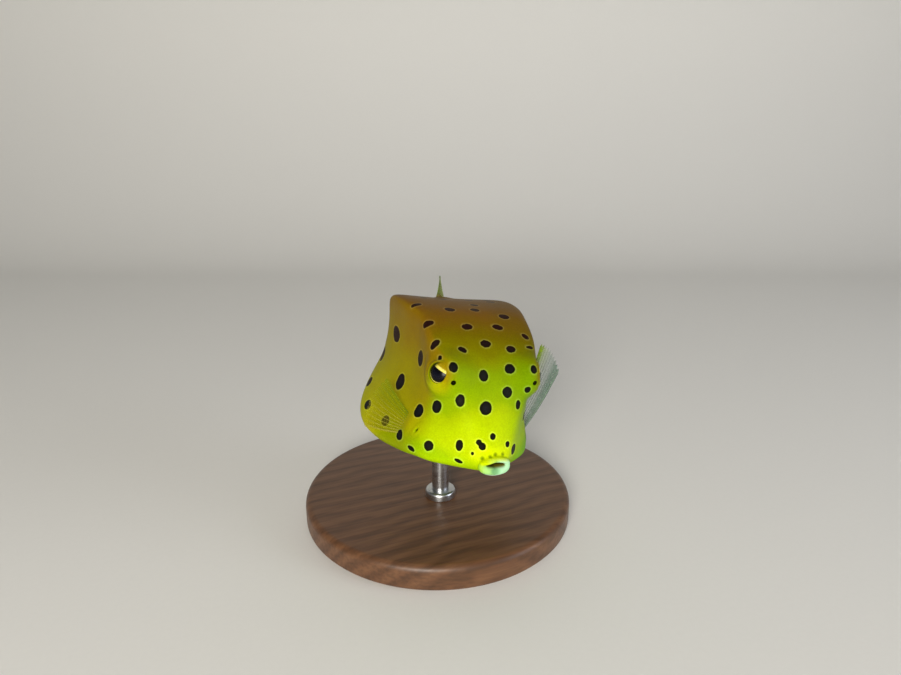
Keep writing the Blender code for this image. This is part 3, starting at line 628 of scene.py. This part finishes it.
def skinMaterial():
    # Live boxfish skin: a thin wet hide over fused bony plates. Deep colour, soft satin gloss.
    material, add, read = newMaterial("wetBoxfishHide", (
        "spotEdge flankShare mintShare lipTone lipDot mouthInside mouthDeep pitShade orbitShare orbitLow "
        "fishPlace limeCast"))
    place = read["fishPlace"]
    wobble, cloud, grain = (add("TexNoise", {"Vector": place, "Scale": scale, "Detail": detail})
                            for scale, detail in ((0.9, 3.0), (0.16, 4.0), (3.2, 4.0)))
    # Plates of the shell are about 2.4 mm across on a fish this size and barely show.
    plates = add("TexVoronoi", {"Vector": place, "Scale": 0.42, "Randomness": 0.55},
                 feature="DISTANCE_TO_EDGE")
    # Lemon at the snout, lime on the face, mustard on the flank, tan on the back: the fish's own colours,
    # darkened towards the back and up the flanks by painted shade.
    parts = add("SeparateXYZ", {"Vector": place}).outputs
    level = add("Math", {0: cloud, 1: ground["cloudLift"], 2: parts["Z"]}, operation="MULTIPLY_ADD")
    back = add("Math", {0: parts["Y"], 1: level}, operation="ADD")
    tones = []
    for where, ((low, high), codes) in ((back, ground["face"]), (level, ground["flank"])):
        share = add("MapRange", {"Value": where, "From Min": 4.0 + low, "From Max": 4.0 + high})
        stops = [((at - low) / (high - low), code) for at, code in codes]
        tones.append(add("ValToRGB", {"Fac": share}, stops))
    base = add("Mix", {"Factor": read["flankShare"], "A": tones[0], "B": tones[1]}, data_type="RGBA")
    # Golden skin about the eye, brighter on the pouch below it.
    gold = add("Mix", {"Factor": read["orbitLow"], "A": "8f7c02", "B": "a7ac00"}, data_type="RGBA")
    golden = add("Mix", {"Factor": read["orbitShare"], "A": base, "B": gold}, data_type="RGBA")
    # Painted shade darkens the left cheek and the chin.
    shadedGolden = add("VectorMath", {0: golden, 1: read["limeCast"]}, operation="MULTIPLY")
    mottle = add("MapRange", {**noiseSpan, "Value": grain, "To Min": 0.91, "To Max": 1.09})
    seams = add("MapRange", {"Value": plates, "From Max": 0.10, "To Min": 0.965, "To Max": 1.0})
    shade = add("Math", {0: mottle, 1: seams}, operation="MULTIPLY")
    mottled = add("VectorMath", {"Vector": shadedGolden, "Scale": shade}, operation="SCALE")
    # Spots: slate middle, a painted sheen on the black, black edge, a thin pale ring, and the edge itself a
    # little uneven.
    uneven = add("Math", {0: wobble, 1: 0.40, 2: -0.20}, operation="MULTIPLY_ADD")
    rough = add("Math", {0: read["spotEdge"], 1: uneven}, operation="ADD")
    reach = add("MapRange", {"Value": rough, "From Min": -1.2, "From Max": 0.8})
    ringShare = add("ValToRGB", {"Fac": reach}, (
        (0.57, 0), (0.61, 0.9), (0.66, 0.75), (0.75, 0.15), (0.86, 0)))
    paler = add("VectorMath", {0: mottled, 1: (1.30, 1.30, 1.0), 2: (0.05, 0.06, 0.03)},
                operation="MULTIPLY_ADD")
    ringed = add("Mix", {"Factor": ringShare, "A": mottled, "B": paler}, data_type="RGBA")
    spotShare = add("ValToRGB", {"Fac": reach}, ((0.565, 1), (0.635, 0)))
    # The spot's slightly lighter slate middle is a painted sheen.
    paintedSheenSlate = add("ValToRGB", {"Fac": reach}, ((0.0, "15171d"), (0.35, "0e0f13"), (0.56, "050505")))
    redShare = add("MapRange", {"Value": back, "From Min": 30.0, "From Max": 42.0, "To Max": 0.8})
    spotColour = add("Mix", {"Factor": redShare, "A": paintedSheenSlate, "B": "250c0a"}, data_type="RGBA")
    spotted = add("Mix", {"Factor": spotShare, "A": ringed, "B": spotColour}, data_type="RGBA")
    # Lips run from yellow green through mint and grey teal to a white lower edge; the grey teal is painted
    # shade.
    mint = add("ValToRGB", {"Fac": read["lipTone"]}, (
        (0.0, "a2cf30"), (0.28, "a9dc7f"), (0.55, "6ea66c"), (0.80, "a2d9a5"), (1.0, "dcf2dd")))
    # The mouth behind the lips is brown, with painted shade making it darker where it goes deep.
    mouth = add("Mix", {"Factor": read["mouthDeep"], "A": "625a14", "B": "1a1b04"}, data_type="RGBA")
    skin = spotted
    # Over the skin go the mint lips, their olive dots, the mouth, and the painted shade in the pits of the
    # openings.
    for share, over in (
            ("mintShare", mint), ("lipDot", "587400"), ("mouthInside", mouth), ("pitShade", "0c1004")):
        skin = add("Mix", {"Factor": read[share], "A": skin, "B": over}, data_type="RGBA")
    gloss = add("MapRange", {**noiseSpan, "Value": grain, "To Min": 0.42, "To Max": 0.55})
    valleys = add("MapRange", {"Value": plates, "From Max": 0.14})
    plateBump = add("Bump", {"Strength": 0.10, "Distance": 0.00008, "Height": valleys})
    bump = add("Bump", {"Strength": 0.16, "Distance": 0.00006, "Height": grain, "Normal": plateBump})
    shader = add("BsdfPrincipled", {
        "Base Color": skin, "Roughness": gloss, "Normal": bump, "IOR": 1.40,
        "Subsurface Weight": 0.10, "Subsurface Radius": (1.0, 0.7, 0.1), "Subsurface Scale": 0.0006,
        "Specular IOR Level": 0.13, "Specular Tint": (1.0, 0.9, 0.2, 1.0)})
    add("OutputMaterial", {"Surface": shader})
    return material


def lipAttributes(mesh, level, skin):
    x, y, z = level.T
    lip = np.empty(len(level), dtype=np.float32)
    mesh.attributes["lipShare"].data.foreach_get("value", lip)
    # Above the mouth only the fish's left half is mint, close to the opening.
    above = smoothStep((x + 2.4) / 3.6) * smoothStep((1.60 - z - 0.10 * x) / 0.9)
    low = smoothStep((0.25 - z) / 0.6)
    clear, wedge = (np.interp(x, *lips[name]) for name in ("clear", "wedge"))
    # The wedge of painted shade just below the mouth slit.
    wedgeShare = smoothStep((-0.5 - z) / 0.3) * smoothStep((z + 1.75) / 0.5)
    edge = smoothStep((-z - 1.35) / 0.6) * (1 - smoothStep((np.abs(x + 0.4) - 1.9) / 1.0))
    dot = np.zeros(len(level))
    for across, up in lips["dots"]:
        at = np.array(skin.ray_cast(Vector((across, -12, up)), Vector((0, 1, 0)))[0])
        away = np.linalg.norm(level - at, axis=1)
        dot = np.maximum(dot, 1 - smoothStep((away - lips["dotCore"]) / lips["dotFade"]))
    # Painted shade in the mouth: darker further in, and towards the fish's right.
    deep = smoothStep((y - 0.1) / 1.3) + 0.75 * smoothStep((0.4 - x) / 1.2)
    addAttributes(mesh, mintShare=lip * (above + (1 - above) * low), lipDot=lips["dotShare"] * dot,
                  lipTone=np.maximum(clear + (wedge - clear) * wedgeShare, edge),
                  mouthDeep=np.clip(deep, 0, 1))
    return lip


def dressSkin():
    mesh, skin = buildSkin()
    level, normal = readMesh(mesh), readMesh(mesh, "normal")
    x, y, z = level.T
    lip = lipAttributes(mesh, level, skin)
    spotEdge = np.where(lip > 0.02, spots["farEdge"], spotEdges(level, castSpots(skin)))
    orbit, low = np.zeros(len(level)), np.zeros(len(level))
    for side in (1, -1):
        along, flat, away = seenFromEye(level, side)
        below, behind = -flat[:, 2] / (away + 1e-6), flat[:, 1] / (away + 1e-6)
        below, behind = smoothStep(below), smoothStep((behind + 0.25) / 0.7)
        share = 1 - smoothStep((away - eyes["goldFrom"] - eyes["goldPouch"] * below) / eyes["goldFade"])
        share *= (along > -1) * (1 - eyes["goldLostBehind"] * behind)
        low = np.where(share > orbit, below, low)
        orbit = np.maximum(orbit, share)
    flank = smoothStep((np.abs(normal[:, 0]) - 0.35) / 0.45) * smoothStep((y - 8.5) / 5.0)
    # Painted shade: the left cheek, turned from the key light, and the chin below the mouth lose some red,
    # and less green, and so turn darker, from lemon to lime.
    leftCheekShade = smoothStep(x / 9.0) * (1 - 0.6 * smoothStep((z - 15.0) / 6.0))
    chinShade = smoothStep((1.4 - z) / 3.2) * smoothStep((24.0 - y) / 8.0)
    paintedShadeLoss = np.outer(leftCheekShade, ground["leftCheekShadeLoss"]) + np.outer(chinShade, ground["chinShadeLoss"])
    addAttributes(mesh, spotEdge=spotEdge, orbitShare=orbit, orbitLow=low, flankShare=flank,
                  limeCast=1 - paintedShadeLoss, fishPlace=level)
    poseMesh(mesh, bendTail(level))
    newPiece("boxfish_skin", mesh, skinMaterial(),
             ("head", "trunk", "tail_stalk", "lip_upper", "lip_lower"))
    print("skin:", len(mesh.polygons), "faces")


def eyeMaterial():
    # Wet cornea over a black pupil in a bright yellow ring. A soft clear shine.
    material, add, read = newMaterial("wetCorneaAndIris", "pupilEdge rearShade skinFold eyePlace")
    place = read["eyePlace"]
    threads = add("TexNoise", {"Vector": place, "Scale": 4.0, "Detail": 3.0})
    iris = add("ValToRGB", {"Fac": threads}, ((0.3, "dcd236"), (0.7, "efe688")))
    folded = add("Mix", {"Factor": read["skinFold"], "A": iris, "B": "a08a04"}, data_type="RGBA")
    shaded = add("Mix", {"Factor": read["rearShade"], "A": folded, "B": "3a3c06"}, data_type="RGBA")
    reach = add("MapRange", {"Value": read["pupilEdge"], "From Min": -1.6, "From Max": 0.4})
    # The pupil is black at its edge, with a painted sheen inside it: slate blue deep inside, violet low
    # down.
    pupilSheenNoise = add("TexNoise", {"Vector": place, "Scale": 0.9})
    deep = add("Mix", {"Factor": pupilSheenNoise, "A": "0f141a", "B": "0f0a1c"}, data_type="RGBA")
    inner = add("ValToRGB", {"Fac": reach}, ((0.25, 1), (0.70, 0.04)))
    pupilWithSheen = add("Mix", {"Factor": inner, "A": "040406", "B": deep}, data_type="RGBA")
    pupilShare = add("ValToRGB", {"Fac": reach}, ((0.775, 1), (0.825, 0)))
    painted = add("Mix", {"Factor": pupilShare, "A": shaded, "B": pupilWithSheen}, data_type="RGBA")
    gloss = add("MapRange", {**noiseSpan, "Value": threads, "To Min": 0.22, "To Max": 0.32})
    shader = add("BsdfPrincipled", {
        "Base Color": painted, "Roughness": gloss, "IOR": 1.38, "Specular IOR Level": 0.18,
        "Coat Weight": 0.10, "Coat Roughness": 0.16, "Coat IOR": 1.38})
    add("OutputMaterial", {"Surface": shader})
    return material


def dressEyes():
    material = eyeMaterial()
    radius, around, down = eyes["radius"], eyes["around"], eyes["down"]
    for side, word in ((1, "left"), (-1, "right")):
        centre, axis = eyeFrame(side)
        forward = unit(axis * axis[1] - (0.0, 1.0, 0.0))
        upward = np.cross(forward, axis) * side
        bm = bmesh.new()
        rings, flat = [], []
        for k in range(1, down):
            slope = math.pi * k / down
            deep = math.cos(slope) * (eyes["flatten"] if slope < math.pi / 2 else 1.0)
            rings.append([])
            for j in range(around):
                turn = math.tau * j / around
                a, b = math.sin(slope) * math.cos(turn), math.sin(slope) * math.sin(turn)
                rings[-1].append(bm.verts.new(centre + radius * (forward * a + upward * b + axis * deep)))
                flat.append((a * radius, b * radius, math.cos(slope)))
        for ring, lift in ((rings[0], eyes["flatten"]), (rings[-1], -1.0)):
            closeRing(bm, ring, Vector(centre + axis * radius * lift))
            flat.append((0.0, 0.0, lift))
        joinRings(bm, rings)
        mesh = meshFrom(bm, "eye_" + word + "_ball")
        # The pupil is a wide oval, cut off straight along its upper front by the bright ring.
        x, y, out = np.array(flat).T
        wide, tall = eyes["pupil"]
        ahead, above, cut = eyes["pupilCut"]
        slant = x * ahead + y * above - cut
        oval = (np.hypot((x - eyes["pupilAt"]) / wide, y / tall) - 1) * tall
        addAttributes(mesh, pupilEdge=np.clip(np.where(out < 0, 1.0, np.maximum(oval, slant)), -2, 1),
                      skinFold=smoothStep((slant - eyes["foldBeyond"]) / 0.2),
                      rearShade=smoothStep(-x - 0.5) * smoothStep((y + 1.5) / 0.8), eyePlace=flat)
        poseMesh(mesh, readMesh(mesh))
        newPiece("boxfish_eye_" + word, mesh, material, ("eye_" + word,))
    print("eyes: two")


def finMaterials():
    # Fin membrane: clear gelatin skin with a tint of lime, fleshy and orange at its base.
    membrane, add, read = newMaterial("clearFinMembrane", "veil tint fishPlace")
    cloud = add("TexNoise", {"Vector": read["fishPlace"], "Scale": 1.4, "Detail": 4.0})
    uneven = add("MapRange", {**noiseSpan, "Value": cloud, "To Min": 0.75, "To Max": 1.2})
    shader = add("BsdfPrincipled", {
        "Base Color": add("VectorMath", {"Vector": read["tint"], "Scale": uneven}, operation="SCALE"),
        "Alpha": add("Math", {0: read["veil"], 1: uneven}, operation="MULTIPLY", use_clamp=True),
        "Normal": add("Bump", {"Strength": 0.2, "Distance": 0.00005, "Height": cloud}),
        "Roughness": 0.42, "IOR": 1.38, "Specular IOR Level": 0.25})
    add("OutputMaterial", {"Surface": shader})
    # Fin rays: thin flexible bone under skin, paler than the membrane, with cross joints.
    rays, add, read = newMaterial("paleFinRayBone", "outShare veil tint")
    out = add("CombineXYZ", {"X": read["outShare"]})
    joints = add("TexWave", {"Vector": out, "Scale": 6.0, "Distortion": 0.4},
                 wave_type="BANDS", bands_direction="X").outputs["Fac"]
    banded = add("MapRange", {"Value": joints, "To Min": 0.88, "To Max": 1.06})
    shader = add("BsdfPrincipled", {
        "Base Color": add("VectorMath", {"Vector": read["tint"], "Scale": banded}, operation="SCALE"),
        "Alpha": read["veil"], "Roughness": 0.45, "IOR": 1.45, "Specular IOR Level": 0.3})
    add("OutputMaterial", {"Surface": shader})
    return membrane, rays


def finTint(fin, name, share):
    # A fin takes on the body's yellow green towards its rear edge.
    front, rear = (np.array(hexColour(code)[:3]) for code in (fin[name], finMake["backTint"]))
    return front + smoothStep((np.asarray(share) - 0.45) / 0.35)[..., None] * (rear - front)


def membraneMesh(name, fin):
    columns, rows = fin["rays"] * finMake["columnsPerRay"], finMake["rows"]
    share, out = np.meshgrid(np.linspace(0, 1, columns + 1), np.linspace(0, 1, rows + 1), indexing="ij")
    reach = out * (1 - finMake["scallop"] * np.cos(np.pi * fin["rays"] * share) ** 2 * out)
    step = 0.004
    along = finPoint(fin, share + step, reach) - finPoint(fin, share - step, reach)
    outward = finPoint(fin, share, reach + step) - finPoint(fin, share, reach - step)
    normal = unit(np.cross(along, outward))
    ripple = finMake["ripple"] * np.sin(2 * np.pi * fin["rays"] * share) * out
    flesh = np.clip(1 - out / fin["fleshyTo"], 0, 1) ** 1.5
    edgeThin = np.sqrt(np.clip(1 - (2 * share - 1) ** 8, 0.05, 1) * np.clip(1 - out ** 10, 0.08, 1))
    thick = (finMake["sheet"] + (fin["base"] - finMake["sheet"]) * flesh) * edgeThin
    bm = bmesh.new()
    sides = []
    for way in (0.5, -0.5):
        level = finPoint(fin, share, reach) + normal * (ripple + thick * way)[..., None]
        sides.append([[bm.verts.new(point) for point in line] for line in level])
    for i in range(columns):
        for j in range(rows):
            for side in sides:
                bm.faces.new((side[i][j], side[i + 1][j], side[i + 1][j + 1], side[i][j + 1]))
    border = [(i, 0) for i in range(columns)] + [(columns, j) for j in range(rows)]
    border += [(i, rows) for i in range(columns, 0, -1)] + [(0, j) for j in range(rows, 0, -1)]
    joinRings(bm, [[side[i][j] for i, j in border] for side in sides])
    mesh = meshFrom(bm, name)
    fleshy = smoothStep(1.25 * (1 - out / fin["fleshyTo"]))
    tint = finTint(fin, "tint", share)
    tint = tint + fleshy[..., None] * (np.array(hexColour(finMake["fleshColour"])[:3]) - tint)
    cover = np.interp(share, finMake["veilAt"], fin["veil"])
    cover = cover + fleshy * (1 - cover)
    addAttributes(mesh, veil=np.tile(cover.ravel(), 2), tint=np.tile(tint.reshape(-1, 3), (2, 1)))
    return mesh


def rayLines(name, fin):
    # A wire of ray centre lines. Each ray forks once, as a soft ray does.
    outs, widths, shares, edges = [], [], [], []
    count, steps, fork = fin["rays"], finMake["stepsPerRay"], finMake["fork"]
    for ray in range(count):
        middle = (ray + 0.5) / count
        width = fin["rayScale"] * (finMake["leadingRay"] if ray == 0 else 1.0)
        lines = [(middle, 0.0, fork, width)]
        for spread in (-finMake["forkSpread"], finMake["forkSpread"]):
            lines.append((middle + spread / count, fork, finMake["rayEnd"], 0.8 * width))
        for end, outFrom, outTo, wide in lines:
            edges += [(len(outs) + k, len(outs) + k + 1) for k in range(steps)]
            shares += list(np.linspace(middle, end, steps + 1))
            outs += list(np.linspace(outFrom, outTo, steps + 1))
            widths += [wide] * (steps + 1)
    mesh = bpy.data.meshes.new(name)
    mesh.from_pydata(finPoint(fin, shares, outs).tolist(), edges, [])
    cover = np.interp(shares, finMake["veilAt"], fin["veil"]) / max(fin["veil"])
    addAttributes(mesh, outShare=outs, rayWidth=widths, veil=fin["rayVeil"] * (0.30 + 0.70 * cover),
                  tint=finTint(fin, "rayTint", shares))
    return mesh


def rayTree():
    # Turns ray centre lines into tapering tubes that lie in the membrane.
    tree = bpy.data.node_groups.new("finRayTubes", "GeometryNodeTree")
    add = partial(addNode, tree)
    for label, kind in (("Geometry", "Geometry"), ("Root Radius", "Float"), ("Tip Radius", "Float"),
                        ("Sides", "Int"), ("Finish", "Material")):
        tree.interface.new_socket(label, in_out="INPUT", socket_type="NodeSocket" + kind)
    tree.interface.new_socket("Geometry", in_out="OUTPUT", socket_type="NodeSocketGeometry")
    source = add("NodeGroupInput").outputs
    out, width = (add("GeometryNodeInputNamedAttribute", {"Name": name}, data_type="FLOAT")
                  for name in ("outShare", "rayWidth"))
    curve = add("GeometryNodeMeshToCurve", {"Mesh": source["Geometry"]})
    taper = add("MapRange", {"Value": out, "To Min": source["Root Radius"], "To Max": source["Tip Radius"]})
    radius = add("Math", {0: taper, 1: width}, operation="MULTIPLY")
    sized = add("GeometryNodeSetCurveRadius", {"Curve": curve, "Radius": radius})
    profile = add("GeometryNodeCurvePrimitiveCircle", {"Resolution": source["Sides"], "Radius": 1.0})
    tubes = add("GeometryNodeCurveToMesh", {
        "Curve": sized, "Profile Curve": profile, "Scale": radius, "Fill Caps": True})
    smooth = add("GeometryNodeSetShadeSmooth", {"Geometry": tubes})
    whole = add("GeometryNodeRealizeInstances", {"Geometry": smooth})
    finish = add("GeometryNodeSetMaterial", {"Geometry": whole, "Material": source["Finish"]})
    add("NodeGroupOutput", {"Geometry": finish})
    return tree


def runTree(name, mesh, tree, inputs):
    maker = addToScene(name, mesh)
    change = maker.modifiers.new("grow", "NODES")
    change.node_group = tree
    for item in tree.interface.items_tree:
        if item.in_out == "INPUT" and item.name in inputs:
            change[item.identifier] = inputs[item.name]
    made = bpy.data.meshes.new_from_object(maker.evaluated_get(bpy.context.evaluated_depsgraph_get()))
    bpy.data.objects.remove(maker, do_unlink=True)
    return made


def dressFins():
    membrane, rays = finMaterials()
    tree = rayTree()
    sizes = {"Root Radius": finMake["rayRootRadius"], "Tip Radius": finMake["rayTipRadius"],
             "Sides": finMake["raySides"], "Finish": rays}
    for node, fin in fins.items():
        sheet = membraneMesh(node + "_membrane", fin)
        tubes = runTree(node + "_rays", rayLines(node + "_rays", fin), tree, sizes)
        for mesh in (sheet, tubes):
            level = readMesh(mesh)
            addAttributes(mesh, fishPlace=level)
            poseMesh(mesh, bendTail(level) if fin["bent"] else level)
        newPiece("boxfish_" + node, sheet, membrane, (node,))
        newPiece("boxfish_" + node + "_rays", tubes, None)
        print("fin:", node, len(sheet.polygons), "faces,", len(tubes.polygons), "in its rays")


stand = {
    "baseRadius": 32.0, "baseHeight": 6.0, "edge": 1.6,
    # The foot of the base is cut back, so that a thin shadow shows under it: (inset, height).
    "foot": ((1.1, 0.0), (0.6, 0.12), (0.45, 0.5), (0.1, 0.7), (0.0, 1.0), (0.0, 2.0)),
    "rodRadius": 2.0, "rodAt": (-1.0, -4.0), "rodTop": 24.5, "rodSunk": 2.6,
    "collarRadius": 3.6, "collarHeight": 1.9, "collarRound": 0.6, "gap": 0.02,
    "steps": 128,
}


def turnedMesh(name, profile, middle=(0.0, 0.0)):
    # The profile is a list of (radius, height), closed at both ends.
    bm = bmesh.new()
    turns = [math.tau * k / stand["steps"] for k in range(stand["steps"])]
    rings = []
    for radius, height in profile:
        places = [(middle[0] + radius * math.cos(turn), middle[1] + radius * math.sin(turn), height)
                  for turn in turns]
        rings.append([bm.verts.new(Vector(place) * mm) for place in places])
    joinRings(bm, rings)
    closeRing(bm, rings[0])
    closeRing(bm, rings[-1])
    mesh = meshFrom(bm, name)
    mesh.shade_smooth()
    mesh.set_sharp_from_angle(angle=math.radians(35))
    return mesh


def woodMaterial():
    # Oiled walnut, turned and rubbed: brown with darker year rings 1.6 mm apart and fine pores.
    material, add, _ = newMaterial("oiledWalnut")
    place = add("TexCoord").outputs["Object"]
    board = add("Mapping", {"Vector": place, "Location": (0.012, 0.055, 0.02),
                            "Rotation": (0.15, math.radians(90), 0.35)})
    stretch = add("Mapping", {"Vector": board, "Scale": (900.0, 900.0, 60.0)})
    bend = add("TexNoise", {"Vector": board, "Scale": 30.0, "Detail": 2.0}).outputs["Color"]
    bent = add("Mix", {"Factor": 0.012, "A": board, "B": bend}, data_type="VECTOR")
    years = add("TexWave", {
        "Vector": bent, "Scale": 98.0, "Distortion": 2.0, "Detail": 3.0, "Detail Scale": 1.2},
        wave_type="RINGS", rings_direction="Z").outputs["Fac"]
    pores = add("TexNoise", {"Vector": stretch, "Scale": 1.6, "Detail": 5.0})
    grain = add("ValToRGB", {"Fac": years}, ((0.0, "583a24"), (0.5, "65432b"), (1.0, "6d4a30")))
    streak = add("MapRange", {
        "Value": pores, "From Min": 0.36, "From Max": 0.62, "To Min": 0.74, "To Max": 1.05})
    shader = add("BsdfPrincipled", {
        "Base Color": add("VectorMath", {"Vector": grain, "Scale": streak}, operation="SCALE"),
        "Roughness": add("MapRange", {"Value": pores, "To Min": 0.52, "To Max": 0.36}),
        "Normal": add("Bump", {"Strength": 0.25, "Distance": 0.00005, "Height": pores}), "IOR": 1.48})
    add("OutputMaterial", {"Surface": shader})
    return material


def steelMaterial():
    # Brushed stainless steel: fine lines round the rod break the shine into a soft band.
    material, add, _ = newMaterial("brushedStainless")
    lines = add("Mapping", {"Vector": add("TexCoord").outputs["Object"], "Scale": (300.0, 300.0, 9000.0)})
    brush = add("TexNoise", {"Vector": lines, "Scale": 1.0, "Detail": 3.0})
    shader = add("BsdfPrincipled", {
        "Base Color": add("ValToRGB", {"Fac": brush}, ((0.3, "b6b8ba"), (0.7, "c9cbcd"))),
        "Roughness": add("MapRange", {**noiseSpan, "Value": brush, "To Min": 0.24, "To Max": 0.38}),
        "Normal": add("Bump", {"Strength": 0.06, "Distance": 0.00002, "Height": brush}), "Metallic": 1.0})
    add("OutputMaterial", {"Surface": shader})
    return material


def dressStand():
    wood, steel = woodMaterial(), steelMaterial()
    radius, height, edge, rod = (stand[name] for name in ("baseRadius", "baseHeight", "edge", "rodRadius"))
    profile = [(radius - inset, up) for inset, up in stand["foot"]]
    for turn in np.radians(np.linspace(0, 90, 13)):
        profile.append((radius - edge + edge * math.cos(turn), height - edge + edge * math.sin(turn)))
    profile.append((rod + 2.5, height))
    newPiece("display_base", turnedMesh("display_base", profile), wood, ("stand_base",))
    profile = [(rod, up) for up in (height - stand["rodSunk"], height, 2 * height, stand["rodTop"])]
    newPiece("display_rod", turnedMesh("display_rod", profile, stand["rodAt"]), steel,
             ("stand_rod",))
    low, wide, tall, soft = (stand[name] for name in ("gap", "collarRadius", "collarHeight", "collarRound"))
    low += height
    profile = [(wide - 0.15, low), (wide, low + 0.15), (wide, low + tall * 0.62)]
    for turn in np.radians(range(15, 91, 15)):
        profile.append((wide - soft + soft * math.cos(turn), low + tall * (0.62 + 0.38 * math.sin(turn))))
    profile.append((rod + 0.05, low + tall))
    newPiece("display_collar", turnedMesh("display_collar", profile, stand["rodAt"]), steel,
             ("stand_collar",))
    print("stand: base, rod and collar")


# The room: a pale paper sweep, soft lights, and the camera where the photograph was taken.
room = {
    "paper": "e9e8e4", "floorReach": 700.0, "wallAt": 420.0, "wallHeight": 900.0, "sweep": 160.0,
    "lights": (
        ("keyLight", (-330, -500, 230), 280, 4.4, "fffaf0"),
        ("fillLight", (380, -360, 160), 300, 0.9, "f2f6ff"),
        ("topLight", (0, 120, 520), 420, 0.15, "ffffff"),
    ),
    "aim": (0, -6, 32), "sky": "f4f6f8", "skyStrength": 0.11,
}
camera = {
    "fromMouth": (-55.9, -106.1, 65.1), "azimuth": math.radians(-23.6), "elevation": math.radians(18.0),
    "lens": 26.92, "sensor": 36.0, "nearest": 0.001, "farthest": 10.0,
}


def paperMaterial():
    # Matt photographic paper: pale, without shine, with a faint tooth.
    material, add, _ = newMaterial("mattBackdropPaper")
    tooth = add("TexNoise", {"Vector": add("TexCoord").outputs["Object"], "Scale": 900.0, "Detail": 3.0})
    tone = add("MapRange", {"Value": tooth, "To Min": 0.985, "To Max": 1.015})
    colour = add("VectorMath", {0: hexColour(room["paper"])[:3], "Scale": tone}, operation="SCALE")
    add("OutputMaterial", {"Surface": add("BsdfPrincipled", {"Base Color": colour, "Roughness": 0.9})})
    return material


def aimedAlong(name, data, place, ahead):
    holder = addToScene(name, data)
    holder.location = place
    holder.rotation_euler = ahead.to_track_quat("-Z", "Y").to_euler()
    return holder


def makeRoom():
    reach, wall, sweep = room["floorReach"], room["wallAt"], room["sweep"]
    line = [(-reach, 0.0)]
    for turn in np.radians(np.linspace(0, 90, 17)):
        line.append((wall - sweep + sweep * math.sin(turn), sweep - sweep * math.cos(turn)))
    line.append((wall, room["wallHeight"]))
    turn = Euler((0, 0, camera["azimuth"]))  # square to the camera
    points = [Vector((side, y, z)) for side in (-reach * 1.6, reach * 1.6) for y, z in line]
    for point in points:
        point.rotate(turn)
    count = len(line)
    mesh = bpy.data.meshes.new("paper_sweep")
    faces = [(k, count + k, count + k + 1, k + 1) for k in range(count - 1)]
    mesh.from_pydata([point * mm for point in points], [], faces)
    mesh.shade_smooth()
    mesh.materials.append(paperMaterial())
    addToScene("paper_sweep", mesh)
    for name, place, size, watts, colour in room["lights"]:
        lamp = bpy.data.lights.new(name, "AREA")
        lamp.shape = "DISK"
        lamp.size = size * mm
        lamp.energy = watts
        lamp.color = hexColour(colour)[:3]
        place = Vector(place) * mm
        aimedAlong(name, lamp, place, Vector(room["aim"]) * mm - place)
    world = bpy.data.worlds.new("softWhiteRoom")
    world.use_nodes = True
    sky = world.node_tree.nodes["Background"].inputs
    sky["Color"].default_value = hexColour(room["sky"])
    sky["Strength"].default_value = room["skyStrength"]
    bpy.context.scene.world = world
    bpy.context.scene.view_settings.view_transform = "Standard"
    print("room: paper, lights and sky")


def makeCamera():
    lens = bpy.data.cameras.new("photographCamera")
    lens.sensor_width = camera["sensor"]
    lens.lens = camera["lens"]
    lens.clip_start, lens.clip_end = camera["nearest"], camera["farthest"]
    place = (Vector(fishPose["mouth"]) + Vector(camera["fromMouth"])) * mm
    a, e = camera["azimuth"], camera["elevation"]
    ahead = Vector((-math.sin(a) * math.cos(e), math.cos(a) * math.cos(e), -math.sin(e)))
    bpy.context.scene.camera = aimedAlong("photographCamera", lens, place, ahead)
    print("camera: set")


makeCamera()
makeRoom()
dressSkin()
dressEyes()
dressFins()
dressStand()

bpy.context.view_layer.update()
